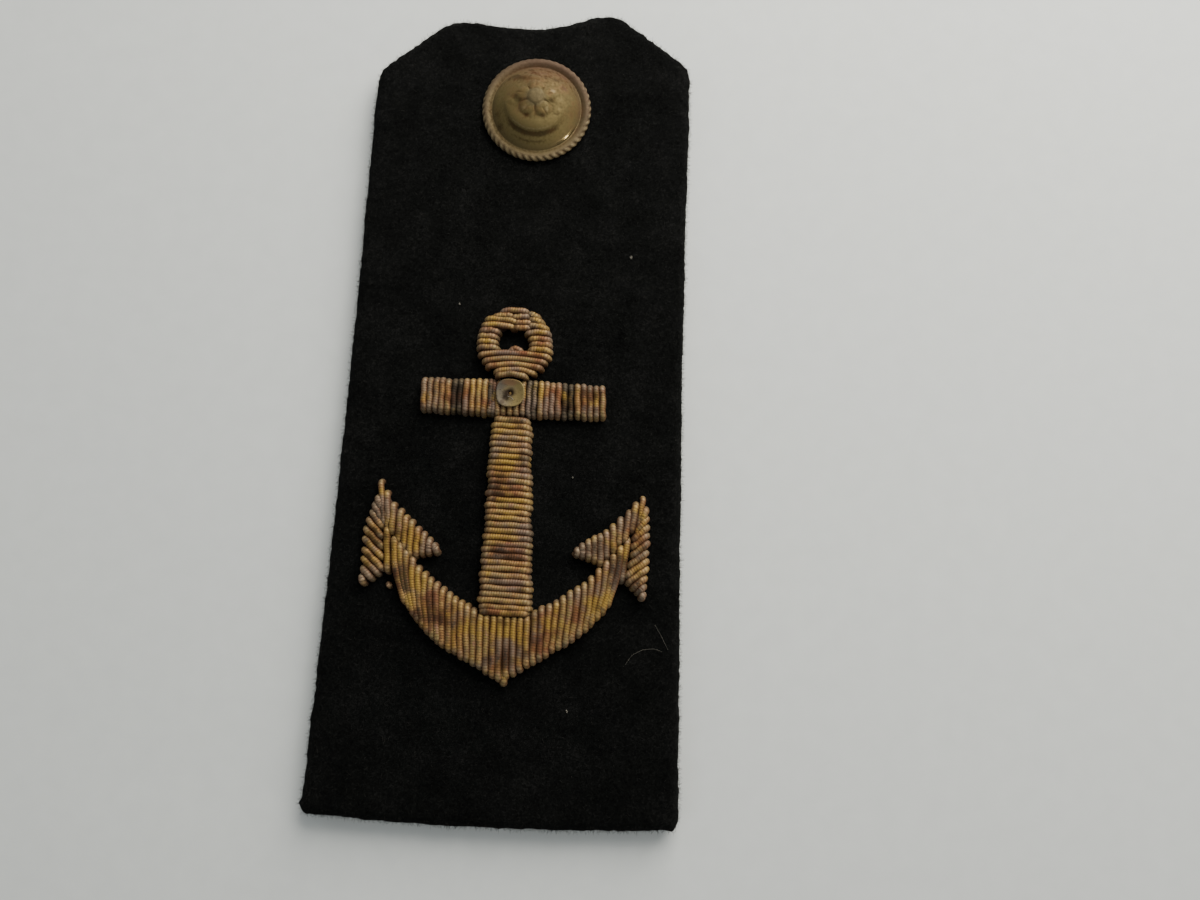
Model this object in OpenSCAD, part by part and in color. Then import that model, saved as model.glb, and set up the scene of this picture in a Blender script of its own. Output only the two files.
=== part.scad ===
// Shoulder board of black wool cloth over a stiff core, with a domed button at its
// neck end and a padded anchor of gold bullion strands.
// +X runs to the right, +Y to the neck end, +Z out of the face. The origin is the
// centre of the underside.

/* [Board] */
// Length of the board, from its foot to its higher peak
board_l = 114.8; // [100:0.1:135]
// Width across the foot
foot_w = 49.3; // [44:0.1:60]
// Width across the shoulders
shoulder_w = 45.4; // [42:0.1:56]
// Thickness of the covered board
board_t = 3.6; // [2.6:0.1:6]
// Radius of the cloth where it turns over the face's edge
edge_r = 1.3; // [0.6:0.1:1.6]
// Radius of the cloth where it turns under
hem_r = 0.6; // [0.3:0.1:1]
// Radius of the two corners at the foot
foot_r = 1.7; // [1.7:0.1:4]
// Length of the tapered neck end, from shoulder to peak
neck_l = 9.0; // [6:0.1:12]
// Distance between the two peaks
peak_w = 21.4; // [14:0.1:28]
// Depth of the hollow between the peaks
neck_dip = 1.6; // [1:0.1:4]
// How much higher the right side of the neck end stands
neck_skew = 2.0; // [0:0.1:4]
// How far the long sides draw in at mid length
side_waist = 0.4; // [0.1:0.1:1]
// How far the foot bows out in its middle
foot_bow = 0.8; // [0.2:0.1:2]

/* [Button] */
// Diameter over the rope rim
button_d = 15.6; // [13:0.1:18]
// Distance of the button's centre below the higher peak
button_drop = 15.9; // [12:0.1:20]
// Offset of the button to the right of the middle
button_x = 0.75; // [-1:0.05:1]
// Rise of the dome above its ledge
dome_rise = 3.5; // [2:0.1:4.5]
// Thickness of the struck shell
shell_wall = 0.4; // [0.3:0.05:0.6]
// Radius of the rope rim's section
rope_r = 0.62; // [0.4:0.01:0.8]
// Number of turns that show round the rope rim
rope_turns = 47; // [30:1:60]
// Height of the struck figures above the dome
relief_h = 0.35; // [0.2:0.05:0.6]
// Reach of the blossom's petals from its centre
blossom_r = 2.7; // [2:0.1:3.2]
// Radius of the blossom's round middle
boss_r = 1.35; // [0.8:0.05:1.5]
// Radius of the anchor's arms round the blossom
emblem_r = 4.5; // [3.9:0.1:4.7]
// Radius of the post that carries the button
post_r = 1.5; // [1:0.1:2]

/* [Anchor strands] */
// Spacing of the bullion strands in the ring and the stock
strand_p = 0.8; // [0.6:0.01:1.2]
// Spacing of the strands in the shank
shank_p = 0.84; // [0.6:0.01:1.2]
// Spacing of the strands in the crown, the arms and the flukes
arm_p = 0.88; // [0.6:0.01:1.2]
// Depth of the groove between two strands
groove_h = 0.3; // [0.15:0.01:0.45]
// Height of the padded strands above the cloth
pad_h = 1.8; // [1:0.1:3]
// How much lower the dark bands and the flukes lie
low_step = 0.25; // [0:0.05:0.5]

/* [Anchor] */
// Distance of the stock's middle below the board's middle
stock_drop = 0.75; // [-10:0.05:10]
// Width of the block at the middle of the stock
block_w = 4.2; // [3.6:0.1:6]
// Height of the stock at the block
stock_h_mid = 5.4; // [4:0.1:7]
// Height of the stock at its tips
stock_h_tip = 4.7; // [3:0.1:6]
// Outer radius of the ring
ring_r = 5.1; // [4:0.1:6]
// Distance of the ring's centre above the stock's middle
ring_rise = 7.7; // [7:0.1:9]
// Distance of the hole's middle above the ring's centre
hole_rise = 0.3; // [0:0.05:0.5]
// Width of the ring's hole
hole_w = 4.0; // [3:0.1:5]
// Height of the ring's hole
hole_h = 3.2; // [2.4:0.1:4]
// Diameter of the spangle on the block
spangle_d = 4.0; // [3:0.1:4.2]
// Diameter of the spangle's eye
spangle_eye = 1.1; // [0.8:0.1:1.6]
// Length of the shank from the stock to the crown
shank_l = 26.1; // [20:0.1:32]
// Width of the shank under the stock
shank_w_top = 5.5; // [4:0.1:7]
// Width of the shank at the crown
shank_w_foot = 7.1; // [5:0.1:9]
// How far the shank's foot leans to the right
shank_lean = 0.6; // [0:0.1:1]
// Length of the crown, from the shank's foot to its point
crown_l = 9.2; // [7:0.1:11]
// Distance from the anchor's middle to the outer foot of an arm
arm_reach = 15.9; // [14:0.1:17]
// Rise of the arm's outer foot above the crown's point
arm_rise = 13.9; // [11:0.1:15]
// Width of a fluke
fluke_w = 10.2; // [8:0.1:12]
// Height of a fluke from its foot to its tip
fluke_h = 14.6; // [12:0.1:17]
// How far a fluke's outer edge stands out past the arm's outer foot
fluke_out = 3.4; // [2:0.1:4.5]

/* [Clearances] */
// Gap between a piece and the cloth that it lies on
seat_gap = 0.05; // [0.03:0.01:0.1]
// Gap between neighbouring groups of strands
side_gap = 0.08; // [0.05:0.01:0.15]
// Gap round the button's post and back
post_gap = 0.1; // [0.05:0.01:0.2]

/* [Hidden] */

cloth_colour = "#16161a";
brass_colour = "#7d6a40";
gold_colour = "#a8874a";
dark_colour = "#453c30";

left = 0;
right = 1;
face_z = board_t + seat_gap;
board_top = board_l / 2;
shoulder_y = board_top - neck_l;

// Outlines

function left_of(v) = [-v[1], v[0]];
function unit(v) = v / norm(v);
function side_of(hand) = 2 * hand - 1;

// Points of the arc that rounds the corner at pt, starting a length t before it, drawn
// an inset inside the outline, which runs anticlockwise
function corner_arc(before, pt, after, t, inset, steps) =
    let (
        a = unit(pt - before),
        b = unit(after - pt),
        turn = atan2(a[0] * b[1] - a[1] * b[0], a * b),
        side = sign(turn),
        r = t / abs(tan(turn / 2)),
        centre = pt - a * t + side * r * left_of(a),
        start = -side * left_of(a),
        from = atan2(start[1], start[0]),
        r_in = max(r - side * inset, 0.05)
    )
    [for (i = [0:steps]) centre + r_in * [cos(from + turn * i / steps), sin(from + turn * i / steps)]];

// Corners of the board, anticlockwise from the lower left: x, y, length rounded off on
// each side, and steps of the arc
foot_y = -board_top;
waist_y = (foot_y + shoulder_y) / 2;
waist_x = (foot_w + shoulder_w) / 4;
long_round = 0.45 * (shoulder_y - foot_y);
// Height that rounding takes off the corner of the higher peak
peak_cut = 0.12;
board_corners = [
    [-foot_w / 2, foot_y + foot_bow, foot_r, 5],
    [0, foot_y - foot_bow, 0.45 * foot_w, 8],
    [foot_w / 2, foot_y + foot_bow, foot_r, 5],
    [waist_x - 2 * side_waist, waist_y, long_round, 8],
    [shoulder_w / 2, shoulder_y + 0.55 * neck_skew, 1.6, 4],
    [peak_w / 2 + 1.2, board_top + peak_cut, 1.4, 3],
    [peak_w / 2 - 1.6, board_top + peak_cut / 3, 2.0, 3],
    [0.12 * peak_w, board_top - neck_skew / 2 - neck_dip, 0.2 * peak_w, 4],
    [-0.25 * peak_w, board_top - neck_skew - neck_dip / 3, 0.1 * peak_w, 3],
    [-peak_w / 2 + 2.0, board_top - neck_skew + peak_cut, 2.0, 3],
    [-peak_w / 2 - 1.8, board_top - neck_skew + peak_cut, 1.8, 3],
    [-shoulder_w / 2, shoulder_y - 0.6 * neck_skew, 1.8, 4],
    [-waist_x + 2 * side_waist, waist_y, long_round, 8]
];

function xy(row) = [row[0], row[1]];

function board_outline(inset) =
    let (n = len(board_corners))
    [for (i = [0:n - 1])
        each corner_arc(xy(board_corners[(i + n - 1) % n]), xy(board_corners[i]),
            xy(board_corners[(i + 1) % n]), board_corners[i][2], inset, board_corners[i][3])];

// Points from p up to, but not at, q on a curve that swells to the left of the way by sag
function bowed(p, q, sag, steps) =
    [for (i = [0:steps - 1])
        let (t = i / steps)
        p + t * (q - p) + 4 * t * (1 - t) * sag * left_of(unit(q - p))];

// Board

edge_steps = 5;
hem_steps = 3;
board_levels = [
    for (i = [0:hem_steps]) let (a = 90 * i / hem_steps) [hem_r * (1 - sin(a)), hem_r * (1 - cos(a))],
    for (i = [0:edge_steps]) let (a = 90 * i / edge_steps)
        [edge_r * (1 - cos(a)), board_t - edge_r * (1 - sin(a))]
];

module board() {
    rings = [for (row = board_levels) board_outline(row[0])];
    n = len(rings[0]);
    last = len(rings) - 1;
    color(cloth_colour)
    difference() {
        polyhedron(
            points = [for (k = [0:last]) for (p = rings[k]) [p[0], p[1], board_levels[k][1]]],
            faces = [
                [for (i = [0:n - 1]) i],
                [for (i = [n - 1:-1:0]) last * n + i],
                for (k = [0:last - 1]) for (i = [0:n - 1])
                    let (j = (i + 1) % n)
                    each [
                        [k * n + i, (k + 1) * n + i, (k + 1) * n + j],
                        [k * n + i, (k + 1) * n + j, k * n + j]
                    ]
            ]
        );
        translate([button_x, button_y, -1])
            cylinder(r = post_r + post_gap, h = board_t + 2, $fn = 48);
    }
}

// Button

button_y = board_top - button_drop;
ledge_z = face_z + 0.25;
ledge_t = 0.6;
back_r = button_d / 2 - 2 * rope_r - 0.7;
dome_r = button_d / 2 - 2 * rope_r - 0.2;
dome_z = ledge_z + ledge_t - 0.05;
dome_ball = (dome_r * dome_r + dome_rise * dome_rise) / (2 * dome_rise);
dome_centre = dome_z + dome_rise - dome_ball;
rope_path_r = button_d / 2 - rope_r;
rope_steps = 3;
rope_sides = 7;
rope_depth = 0.22;
emblem_turn = -10;
emblem_stock = 0.7;

// Ring of rope whose turns run slantwise round its section
module rope_rim() {
    n = rope_turns * rope_steps;
    m = rope_sides;
    polyhedron(
        points = [for (i = [0:n - 1]) for (j = [0:m - 1])
            let (
                a = 360 * i / n,
                b = 360 * j / m,
                r = rope_r * (1 - rope_depth * (0.5 - 0.5 * cos(rope_turns * a + b)))
            )
            [(rope_path_r + r * cos(b)) * cos(a), (rope_path_r + r * cos(b)) * sin(a), r * sin(b)]],
        faces = [for (i = [0:n - 1]) for (j = [0:m - 1])
            let (k = (i + 1) % n, l = (j + 1) % m)
            each [
                [i * m + j, i * m + l, k * m + l],
                [i * m + j, k * m + l, k * m + j]
            ]]
    );
}

module petal() {
    lobe = 0.29 * blossom_r;
    for (side = [-1, 1])
        translate([blossom_r - lobe, side * 0.56 * lobe])
            circle(r = lobe, $fn = 24);
    polygon([[0, 0], [blossom_r - lobe, -1.4 * lobe], [blossom_r - lobe, 1.4 * lobe]]);
}

module blossom() {
    for (k = [0:4])
        rotate(90 + 72 * k)
            petal();
}

module emblem_anchor() {
    bar = 0.16 * emblem_r;
    difference() {
        circle(r = emblem_r, $fn = 64);
        translate([0, 0.28 * emblem_r])
            circle(r = 0.98 * emblem_r, $fn = 64);
        translate([-emblem_r, -0.2 * emblem_r])
            square([2 * emblem_r, 2 * emblem_r]);
    }
    translate([-bar / 2, -0.95 * emblem_r])
        square([bar, 1.75 * emblem_r]);
    translate([-emblem_stock * emblem_r, 0.66 * emblem_r])
        square([2 * emblem_stock * emblem_r, bar]);
    difference() {
        translate([0, 0.96 * emblem_r])
            circle(r = 1.15 * bar, $fn = 24);
        translate([0, 0.96 * emblem_r])
            circle(r = 0.5 * bar, $fn = 24);
    }
}

// The figure raised a height above the dome
module struck(height) {
    intersection() {
        translate([0, 0, dome_centre])
            sphere(r = dome_ball + height, $fn = 96);
        translate([0, 0, dome_z + 0.2])
            linear_extrude(height = dome_rise + 2)
                children();
    }
}

module button_shell() {
    color(brass_colour)
    translate([button_x, button_y, 0])
    difference() {
        union() {
            intersection() {
                translate([0, 0, dome_centre])
                    sphere(r = dome_ball, $fn = 96);
                translate([0, 0, ledge_z])
                    cylinder(r = button_d, h = dome_rise + 2, $fn = 96);
            }
            translate([0, 0, ledge_z])
                cylinder(r = rope_path_r, h = ledge_t, $fn = 96);
            translate([0, 0, face_z + rope_r])
                rope_rim();
            rotate(emblem_turn)
                struck(0.7 * relief_h)
                    emblem_anchor();
            struck(relief_h)
                blossom();
            struck(1.5 * relief_h)
                circle(r = boss_r, $fn = 24);
        }
        intersection() {
            translate([0, 0, dome_centre])
                sphere(r = dome_ball - shell_wall, $fn = 96);
            cylinder(r = back_r + post_gap, h = face_z + button_d, $fn = 96);
        }
        translate([0, 0, ledge_z - 1])
            cylinder(r = back_r + post_gap, h = ledge_t + 0.8, $fn = 96);
    }
}

module button_back() {
    color(brass_colour)
    translate([button_x, button_y, 0]) {
        translate([0, 0, face_z])
            cylinder(r = back_r, h = ledge_t, $fn = 96);
        translate([0, 0, hem_r])
            cylinder(r = post_r, h = board_t, $fn = 48);
    }
}

// Padded strands

arch_power = 2.6;
along_shares = [0, 0.1, 0.3, 0.7, 0.9, 1];

function across(dir) = [sin(dir), -cos(dir)];
function along(dir) = [cos(dir), sin(dir)];

// Where a strand at place u across the direction enters and leaves the outline
function cuts(outline, dir, u) =
    let (n = len(outline))
    [for (i = [0:n - 1])
        let (
            p = outline[i],
            q = outline[(i + 1) % n],
            pu = p * across(dir) - u,
            qu = q * across(dir) - u
        )
        if ((pu < 0) != (qu < 0)) (p + pu / (pu - qu) * (q - p)) * along(dir)];

// Strands that fill an outline between two places across it: place, start, end
function strand_rows(outline, dir, from, to, spacing = strand_p) =
    let (n = max(1, round((to - from) / spacing)), pitch = (to - from) / n)
    [for (k = [0:n - 1])
        let (u = from + (k + 0.5) * pitch, c = cuts(outline, dir, u))
        if (len(c) > 1 && max(c) - min(c) > 0.6 * spacing) [u, min(c), max(c)]];

function fill_rows(outline, dir, spacing) =
    let (us = [for (p = outline) p * across(dir)])
    strand_rows(outline, dir, min(us), max(us), spacing);

// Lines along the strands that a group's skin passes through: two on each strand and
// one in each groove: place, start, end, depth below the crest
function skin_lines(rows, half) =
    let (
        n = len(rows),
        nip = 0.35 * half,
        groove = function (u, a, b) let (m = (a + b) / 2)
            [u, min(a + nip, m - 0.1), max(b - nip, m + 0.1), groove_h]
    )
    [
        groove(rows[0][0] - half, rows[0][1] + half, rows[0][2] - half),
        for (k = [0:n - 1]) each [
            [rows[k][0] - 0.45 * half, rows[k][1], rows[k][2], 0],
            [rows[k][0] + 0.45 * half, rows[k][1], rows[k][2], 0],
            k < n - 1
                ? groove((rows[k][0] + rows[k + 1][0]) / 2, max(rows[k][1], rows[k + 1][1]),
                    min(rows[k][2], rows[k + 1][2]))
                : groove(rows[k][0] + half, rows[k][1] + half, rows[k][2] - half)
        ]
    ];

function arch(t) = pow(1 - pow(abs(2 * t - 1), arch_power), 1 / arch_power);

// Group of strands laid side by side over padding, from z up to z + height
module strand_group(rows, dir, z, height) {
    half = (len(rows) > 1 ? rows[1][0] - rows[0][0] : strand_p) / 2;
    lines = skin_lines(rows, half);
    n = len(lines);
    m = len(along_shares);
    polyhedron(
        points = [for (line = lines) for (t = along_shares)
            let (p = line[0] * across(dir) + (line[1] + t * (line[2] - line[1])) * along(dir))
            [p[0], p[1], z + (height - line[3]) * arch(t)]],
        faces = [
            [for (j = [m - 1:-1:0]) j],
            [for (j = [0:m - 1]) (n - 1) * m + j],
            for (i = [0:n - 2]) each [
                [i * m, (i + 1) * m, (i + 1) * m + m - 1],
                [i * m, (i + 1) * m + m - 1, i * m + m - 1],
                for (j = [0:m - 2]) each [
                    [i * m + j, i * m + j + 1, (i + 1) * m + j + 1],
                    [i * m + j, (i + 1) * m + j + 1, (i + 1) * m + j]
                ]
            ]
        ]
    );
}

level = 0;
upright = 90;

// Anchor ring

stock_y = -stock_drop;
ring_y = stock_y + ring_rise;
ring_x = -0.25;
ring_pad_t = 0.7;
ring_lift = 0.2;
ring_foot = stock_y + stock_h_mid / 2 + side_gap;
hole_y = ring_y + hole_rise;
hole_nub = 2;
ring_circle = [for (a = [0:10:350]) [ring_x + ring_r * cos(a), ring_y + ring_r * sin(a)]];

// Level strands of the ring between two heights
function ring_rows(from, to) = strand_rows(ring_circle, level, -to, -from);

module anchor_ring() {
    hole_top = hole_y + hole_h / 2;
    hole_foot = hole_y - hole_h / 2;
    sides = ring_rows(hole_foot, hole_top);
    foot_rows = ring_rows(ring_foot, hole_foot);
    nub = [2 * foot_rows[0][0] - foot_rows[1][0], ring_x - hole_nub / 2, ring_x + hole_nub / 2];
    z = face_z + ring_lift;
    height = pad_h - ring_lift;
    color(gold_colour)
    union() {
        translate([ring_x, 0, face_z])
            linear_extrude(height = ring_pad_t)
                difference() {
                    translate([0, ring_y])
                        circle(r = ring_r - 0.4, $fn = 64);
                    translate([-hole_w / 2 - 0.4, hole_foot - 0.4])
                        square([hole_w + 0.8, hole_h + 0.8]);
                    translate([-ring_r, ring_foot - 2 * ring_r + 0.4])
                        square([2 * ring_r, 2 * ring_r]);
                }
        strand_group(ring_rows(hole_top, ring_y + ring_r), level, z, height);
        strand_group([for (row = sides) [row[0], row[1], ring_x - hole_w / 2]], level, z, height);
        strand_group([for (row = sides) [row[0], ring_x + hole_w / 2, row[2]]], level, z, height);
        strand_group(concat([nub], foot_rows), level, z, height);
    }
}

// Stock

block_x = -0.1;
bar_reach = 13 * strand_p;
// Groups of strands from the block out to the tip: first strand, number of strands
inner_band = [0, 2];
bar = [2, 4];
outer_band = [6, 2];
tip = [8, 5];

stock_outline = [
    [block_x - block_w / 2 - bar_reach, stock_y - stock_h_tip / 2],
    [block_x, stock_y - stock_h_mid / 2],
    [block_x + block_w / 2 + bar_reach, stock_y - stock_h_tip / 2],
    [block_x + block_w / 2 + bar_reach, stock_y + stock_h_tip / 2],
    [block_x, stock_y + stock_h_mid / 2],
    [block_x - block_w / 2 - bar_reach, stock_y + stock_h_tip / 2]
];

module stock_group(hand, group, height) {
    near = block_w / 2 + group[0] * strand_p + side_gap / 2;
    far = block_w / 2 + (group[0] + group[1]) * strand_p - side_gap / 2;
    from = block_x + (hand == left ? -far : near);
    to = block_x + (hand == left ? -near : far);
    strand_group(strand_rows(stock_outline, upright, from, to), upright, face_z, height);
}

module stock_left_tip() {
    color(gold_colour) stock_group(left, tip, pad_h);
}

module stock_left_outer_band() {
    color(dark_colour) stock_group(left, outer_band, pad_h - low_step);
}

module stock_left_bar() {
    color(gold_colour) stock_group(left, bar, pad_h);
}

module stock_left_inner_band() {
    color(dark_colour) stock_group(left, inner_band, pad_h - low_step);
}

module stock_right_inner_band() {
    color(dark_colour) stock_group(right, inner_band, pad_h - low_step);
}

module stock_right_bar() {
    color(gold_colour) stock_group(right, bar, pad_h);
}

module stock_right_outer_band() {
    color(dark_colour) stock_group(right, outer_band, pad_h - low_step);
}

module stock_right_tip() {
    color(gold_colour) stock_group(right, tip, pad_h);
}

module stock_centre() {
    color(gold_colour)
    strand_group(strand_rows(stock_outline, upright, block_x - block_w / 2 + side_gap / 2,
        block_x + block_w / 2 - side_gap / 2), upright, face_z, pad_h - low_step);
}

// Spangle: a flat cup of brass, held down through its eye

spangle_t = 0.45;
spangle_x = block_x - 0.25;
spangle_y = stock_y + stock_h_mid / 2 - spangle_d / 2;
spangle_z = face_z + pad_h - low_step + seat_gap;

module spangle() {
    color(brass_colour)
    translate([spangle_x, spangle_y, spangle_z])
    rotate_extrude($fn = 64)
        polygon([
            [spangle_eye / 2, 0],
            [0.7 * spangle_d / 2, 0],
            [spangle_d / 2, 0.4 * spangle_t],
            [spangle_d / 2, spangle_t],
            [0.7 * spangle_d / 2, spangle_t],
            [spangle_eye / 2, 0.6 * spangle_t]
        ]);
}

// Shank, crown and arms

shank_top = stock_y - stock_h_mid / 2 - side_gap;
shank_foot = stock_y - stock_h_mid / 2 - shank_l;
shank_x = block_x;
foot_x = shank_x + shank_lean;
shank_outline = [
    [foot_x - shank_w_foot / 2, shank_foot + side_gap],
    [foot_x + shank_w_foot / 2, shank_foot + side_gap],
    [shank_x + shank_w_top / 2, shank_top],
    [shank_x - shank_w_top / 2, shank_top]
];

module shank() {
    color(gold_colour)
    strand_group(fill_rows(shank_outline, level, shank_p), level, face_z, pad_h + low_step);
}

point_y = shank_foot - crown_l;
anchor_point = [foot_x, point_y];
notch_reach = arm_reach - 0.33 * fluke_w;
notch_rise = arm_rise + 0.1 * fluke_h;
// Elbow where an arm's outer edge turns up, as shares of its reach and rise, for the left
// and the right arm
elbow_shares = [[0.64, 0.39], [0.7, 0.5]];
elbow_round = 4;
arm_bow = 0.5;
// Drop of the fluke's foot below the arm's outer foot, as a share of its height
foot_share = 0.15;
// Drop in the fluke's height at which an arm's slanting seam with it ends
arm_top_drop = 0.52;
// Place across the fluke's width of the seam between its halves, for the left and the
// right fluke, and how far inside of it the arm's seam ends
seam_shares = [0.25, 0.28];
arm_seam_in = 0.09;
// How far an arm's outermost strand lies inside its outer foot, left and right
arm_insets = [0.3, 0.45];

// Point of an arm from its reach to one side and its rise above the crown's point
function arm_pt(hand, reach, rise) = anchor_point + [side_of(hand) * reach, rise];
function arm_foot(hand) = arm_pt(hand, arm_reach, arm_rise);
function arm_notch(hand) = arm_pt(hand, notch_reach, notch_rise);
function arm_top(hand) = fluke_pt(hand, seam_shares[hand] + arm_seam_in + 0.01, arm_top_drop);
function arm_elbow(hand) =
    arm_pt(hand, elbow_shares[hand][0] * arm_reach, elbow_shares[hand][1] * arm_rise);

// Outline of crown and arms together, anticlockwise from the left arm's outer foot. Each
// arm runs up into its fluke to a slanting seam.
arms_outline = concat(
    [arm_foot(left)],
    corner_arc(arm_foot(left), arm_elbow(left), anchor_point, elbow_round, 0, 4),
    [anchor_point],
    corner_arc(anchor_point, arm_elbow(right), arm_foot(right), elbow_round, 0, 4),
    [arm_foot(right), arm_top(right)],
    bowed(arm_notch(right), [foot_x + shank_w_foot / 2, shank_foot], arm_bow, 3),
    [[foot_x + shank_w_foot / 2, shank_foot]],
    bowed([foot_x - shank_w_foot / 2, shank_foot], arm_notch(left), arm_bow, 3),
    [arm_notch(left), arm_top(left)]
);

// Upright strands of crown and arms between two places
module arms_strands(from, to) {
    color(gold_colour)
    strand_group(strand_rows(arms_outline, upright, from, to, arm_p), upright, face_z, pad_h);
}

module crown() {
    arms_strands(foot_x - (shank_w_foot - side_gap) / 2, foot_x + (shank_w_foot - side_gap) / 2);
}

module arm_left() {
    arms_strands(arm_foot(left)[0] + arm_insets[left], foot_x - (shank_w_foot + side_gap) / 2);
}

module arm_right() {
    arms_strands(foot_x + (shank_w_foot + side_gap) / 2, arm_foot(right)[0] - arm_insets[right]);
}

// Flukes: an inner half of upright strands and an outer half of slanting ones, which
// meet on a seam

// Points that differ from the left fluke to the right one, each as a share of the width and
// of the height: the tips of the two halves, and the upper end of the outer half's seam
inner_tips = [[0.25, 0.1], [0.11, 0.05]];
outer_tips = [[0.17, 0.02], [0.08, 0.05]];
seam_tops = [[0.21, 0.13], [0.185, 0.27]];
// Place of the barb across the width, its drop in the height, and the places of the foot and
// of the outer edge across the width
barb_shares = [0.97, 1];
barb_drops = [0.64, 0.585];
heel_shares = [0.03, 0.11];
edge_shares = [-0.03, 0.02];
// Slant of the outer strands, for the left and the right fluke
slants = [-48, 43];

// Point of a fluke from shares of its width, inwards, and of its height, downwards
function fluke_pt(hand, across_share, down_share) =
    arm_pt(hand, arm_reach + fluke_out - across_share * fluke_w,
        arm_rise + fluke_h * (1 - foot_share - down_share));

// Outline of the inner half: tip, barb, notch, seam with the arm, and a last strand that
// runs down beside the outer half
function inner_outline(hand) = [
    fluke_pt(hand, inner_tips[hand][0], inner_tips[hand][1]),
    fluke_pt(hand, barb_shares[hand], barb_drops[hand]),
    fluke_pt(hand, 0.7, 0.705),
    fluke_pt(hand, 0.675, 0.735),
    fluke_pt(hand, seam_shares[hand] + arm_seam_in, arm_top_drop - 0.02),
    fluke_pt(hand, seam_shares[hand] + arm_seam_in, 0.76),
    fluke_pt(hand, seam_shares[hand] + 0.01, 0.76),
    fluke_pt(hand, seam_shares[hand], 0.4)
];

// Outline of the outer half: tip, seam, foot, outer edge
function outer_outline(hand) = [
    fluke_pt(hand, outer_tips[hand][0], outer_tips[hand][1]),
    fluke_pt(hand, seam_tops[hand][0], seam_tops[hand][1]),
    fluke_pt(hand, seam_shares[hand] - 0.025, 0.4),
    fluke_pt(hand, seam_shares[hand] - 0.03, 0.77),
    fluke_pt(hand, seam_shares[hand] + 0.05, 0.81),
    fluke_pt(hand, seam_shares[hand] + 0.04, 0.87),
    fluke_pt(hand, heel_shares[hand], 1),
    fluke_pt(hand, edge_shares[hand], 0.775),
    fluke_pt(hand, edge_shares[hand] + 0.03, 0.44)
];

module inner_half(hand) {
    strand_group(fill_rows(inner_outline(hand), upright, arm_p), upright, face_z,
        pad_h - low_step);
}

module outer_half(hand) {
    strand_group(fill_rows(outer_outline(hand), slants[hand], arm_p), slants[hand], face_z,
        pad_h - low_step);
}

module fluke_left_inner() {
    color(gold_colour) inner_half(left);
}

module fluke_left_outer() {
    color(gold_colour) outer_half(left);
}

module fluke_right_inner() {
    color(gold_colour) inner_half(right);
}

module fluke_right_outer() {
    color(gold_colour) outer_half(right);
}

board();
button_shell();
button_back();
anchor_ring();
stock_left_tip();
stock_left_outer_band();
stock_left_bar();
stock_left_inner_band();
stock_centre();
spangle();
stock_right_inner_band();
stock_right_bar();
stock_right_outer_band();
stock_right_tip();
shank();
crown();
arm_left();
arm_right();
fluke_left_inner();
fluke_left_outer();
fluke_right_inner();
fluke_right_outer();
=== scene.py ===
import math
import random

import bmesh
import bpy
import numpy as np
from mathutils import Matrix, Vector


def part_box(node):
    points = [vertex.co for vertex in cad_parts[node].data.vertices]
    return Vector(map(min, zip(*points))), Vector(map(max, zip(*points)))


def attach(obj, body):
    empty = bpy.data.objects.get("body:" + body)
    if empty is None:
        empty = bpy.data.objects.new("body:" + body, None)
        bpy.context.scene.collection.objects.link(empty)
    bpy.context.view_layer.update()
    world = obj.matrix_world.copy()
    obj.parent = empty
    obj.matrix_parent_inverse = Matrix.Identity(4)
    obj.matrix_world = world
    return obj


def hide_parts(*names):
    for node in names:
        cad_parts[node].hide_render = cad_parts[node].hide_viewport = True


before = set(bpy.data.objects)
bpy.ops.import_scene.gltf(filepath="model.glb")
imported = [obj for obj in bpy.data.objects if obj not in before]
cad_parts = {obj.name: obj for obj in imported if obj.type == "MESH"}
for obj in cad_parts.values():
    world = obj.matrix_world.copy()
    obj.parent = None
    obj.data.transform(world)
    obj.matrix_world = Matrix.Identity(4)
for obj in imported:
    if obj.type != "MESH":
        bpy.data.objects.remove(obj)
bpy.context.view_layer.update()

# Board
# A stiff core covered on both sides with black melton, a wool cloth that is milled until
# its weave is gone and its nap stands up. The cloth is glued down and turned round the
# edges, which makes them soft and a little uneven.

mm = 0.001
cover_cell = 0.5 * mm
board_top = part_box("board")[1].z


def rgb(hex_colour):
    """Linear colour of an sRGB hex value."""
    parts = [int(hex_colour[i:i + 2], 16) / 255 for i in (1, 3, 5)]
    return [p / 12.92 if p <= 0.04045 else ((p + 0.055) / 1.055) ** 2.4 for p in parts] + [1]


def node(tree, kind, inputs=None, **settings):
    """Adds a node with its settings. An input is a value, a socket or a node."""
    made = tree.nodes.new(kind)
    for name, value in settings.items():
        setattr(made, name, value)
    for name, value in (inputs or {}).items():
        if isinstance(value, bpy.types.Node):
            value = value.outputs[0]
        if isinstance(value, bpy.types.NodeSocket):
            tree.links.new(value, made.inputs[name])
        else:
            made.inputs[name].default_value = value
    return made


def stops(ramp, rows):
    """Sets a colour ramp's stops: place, hex colour."""
    elements = ramp.color_ramp.elements
    while len(elements) > len(rows):
        elements.remove(elements[-1])
    while len(elements) < len(rows):
        elements.new(1)
    for element, (place, colour) in zip(elements, rows):
        element.position = place
        element.color = rgb(colour)
    return ramp


def new_material(name):
    """An empty material and its node tree."""
    made = bpy.data.materials.new(name)
    made.use_nodes = True
    made.node_tree.nodes.clear()
    return made, made.node_tree


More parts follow.
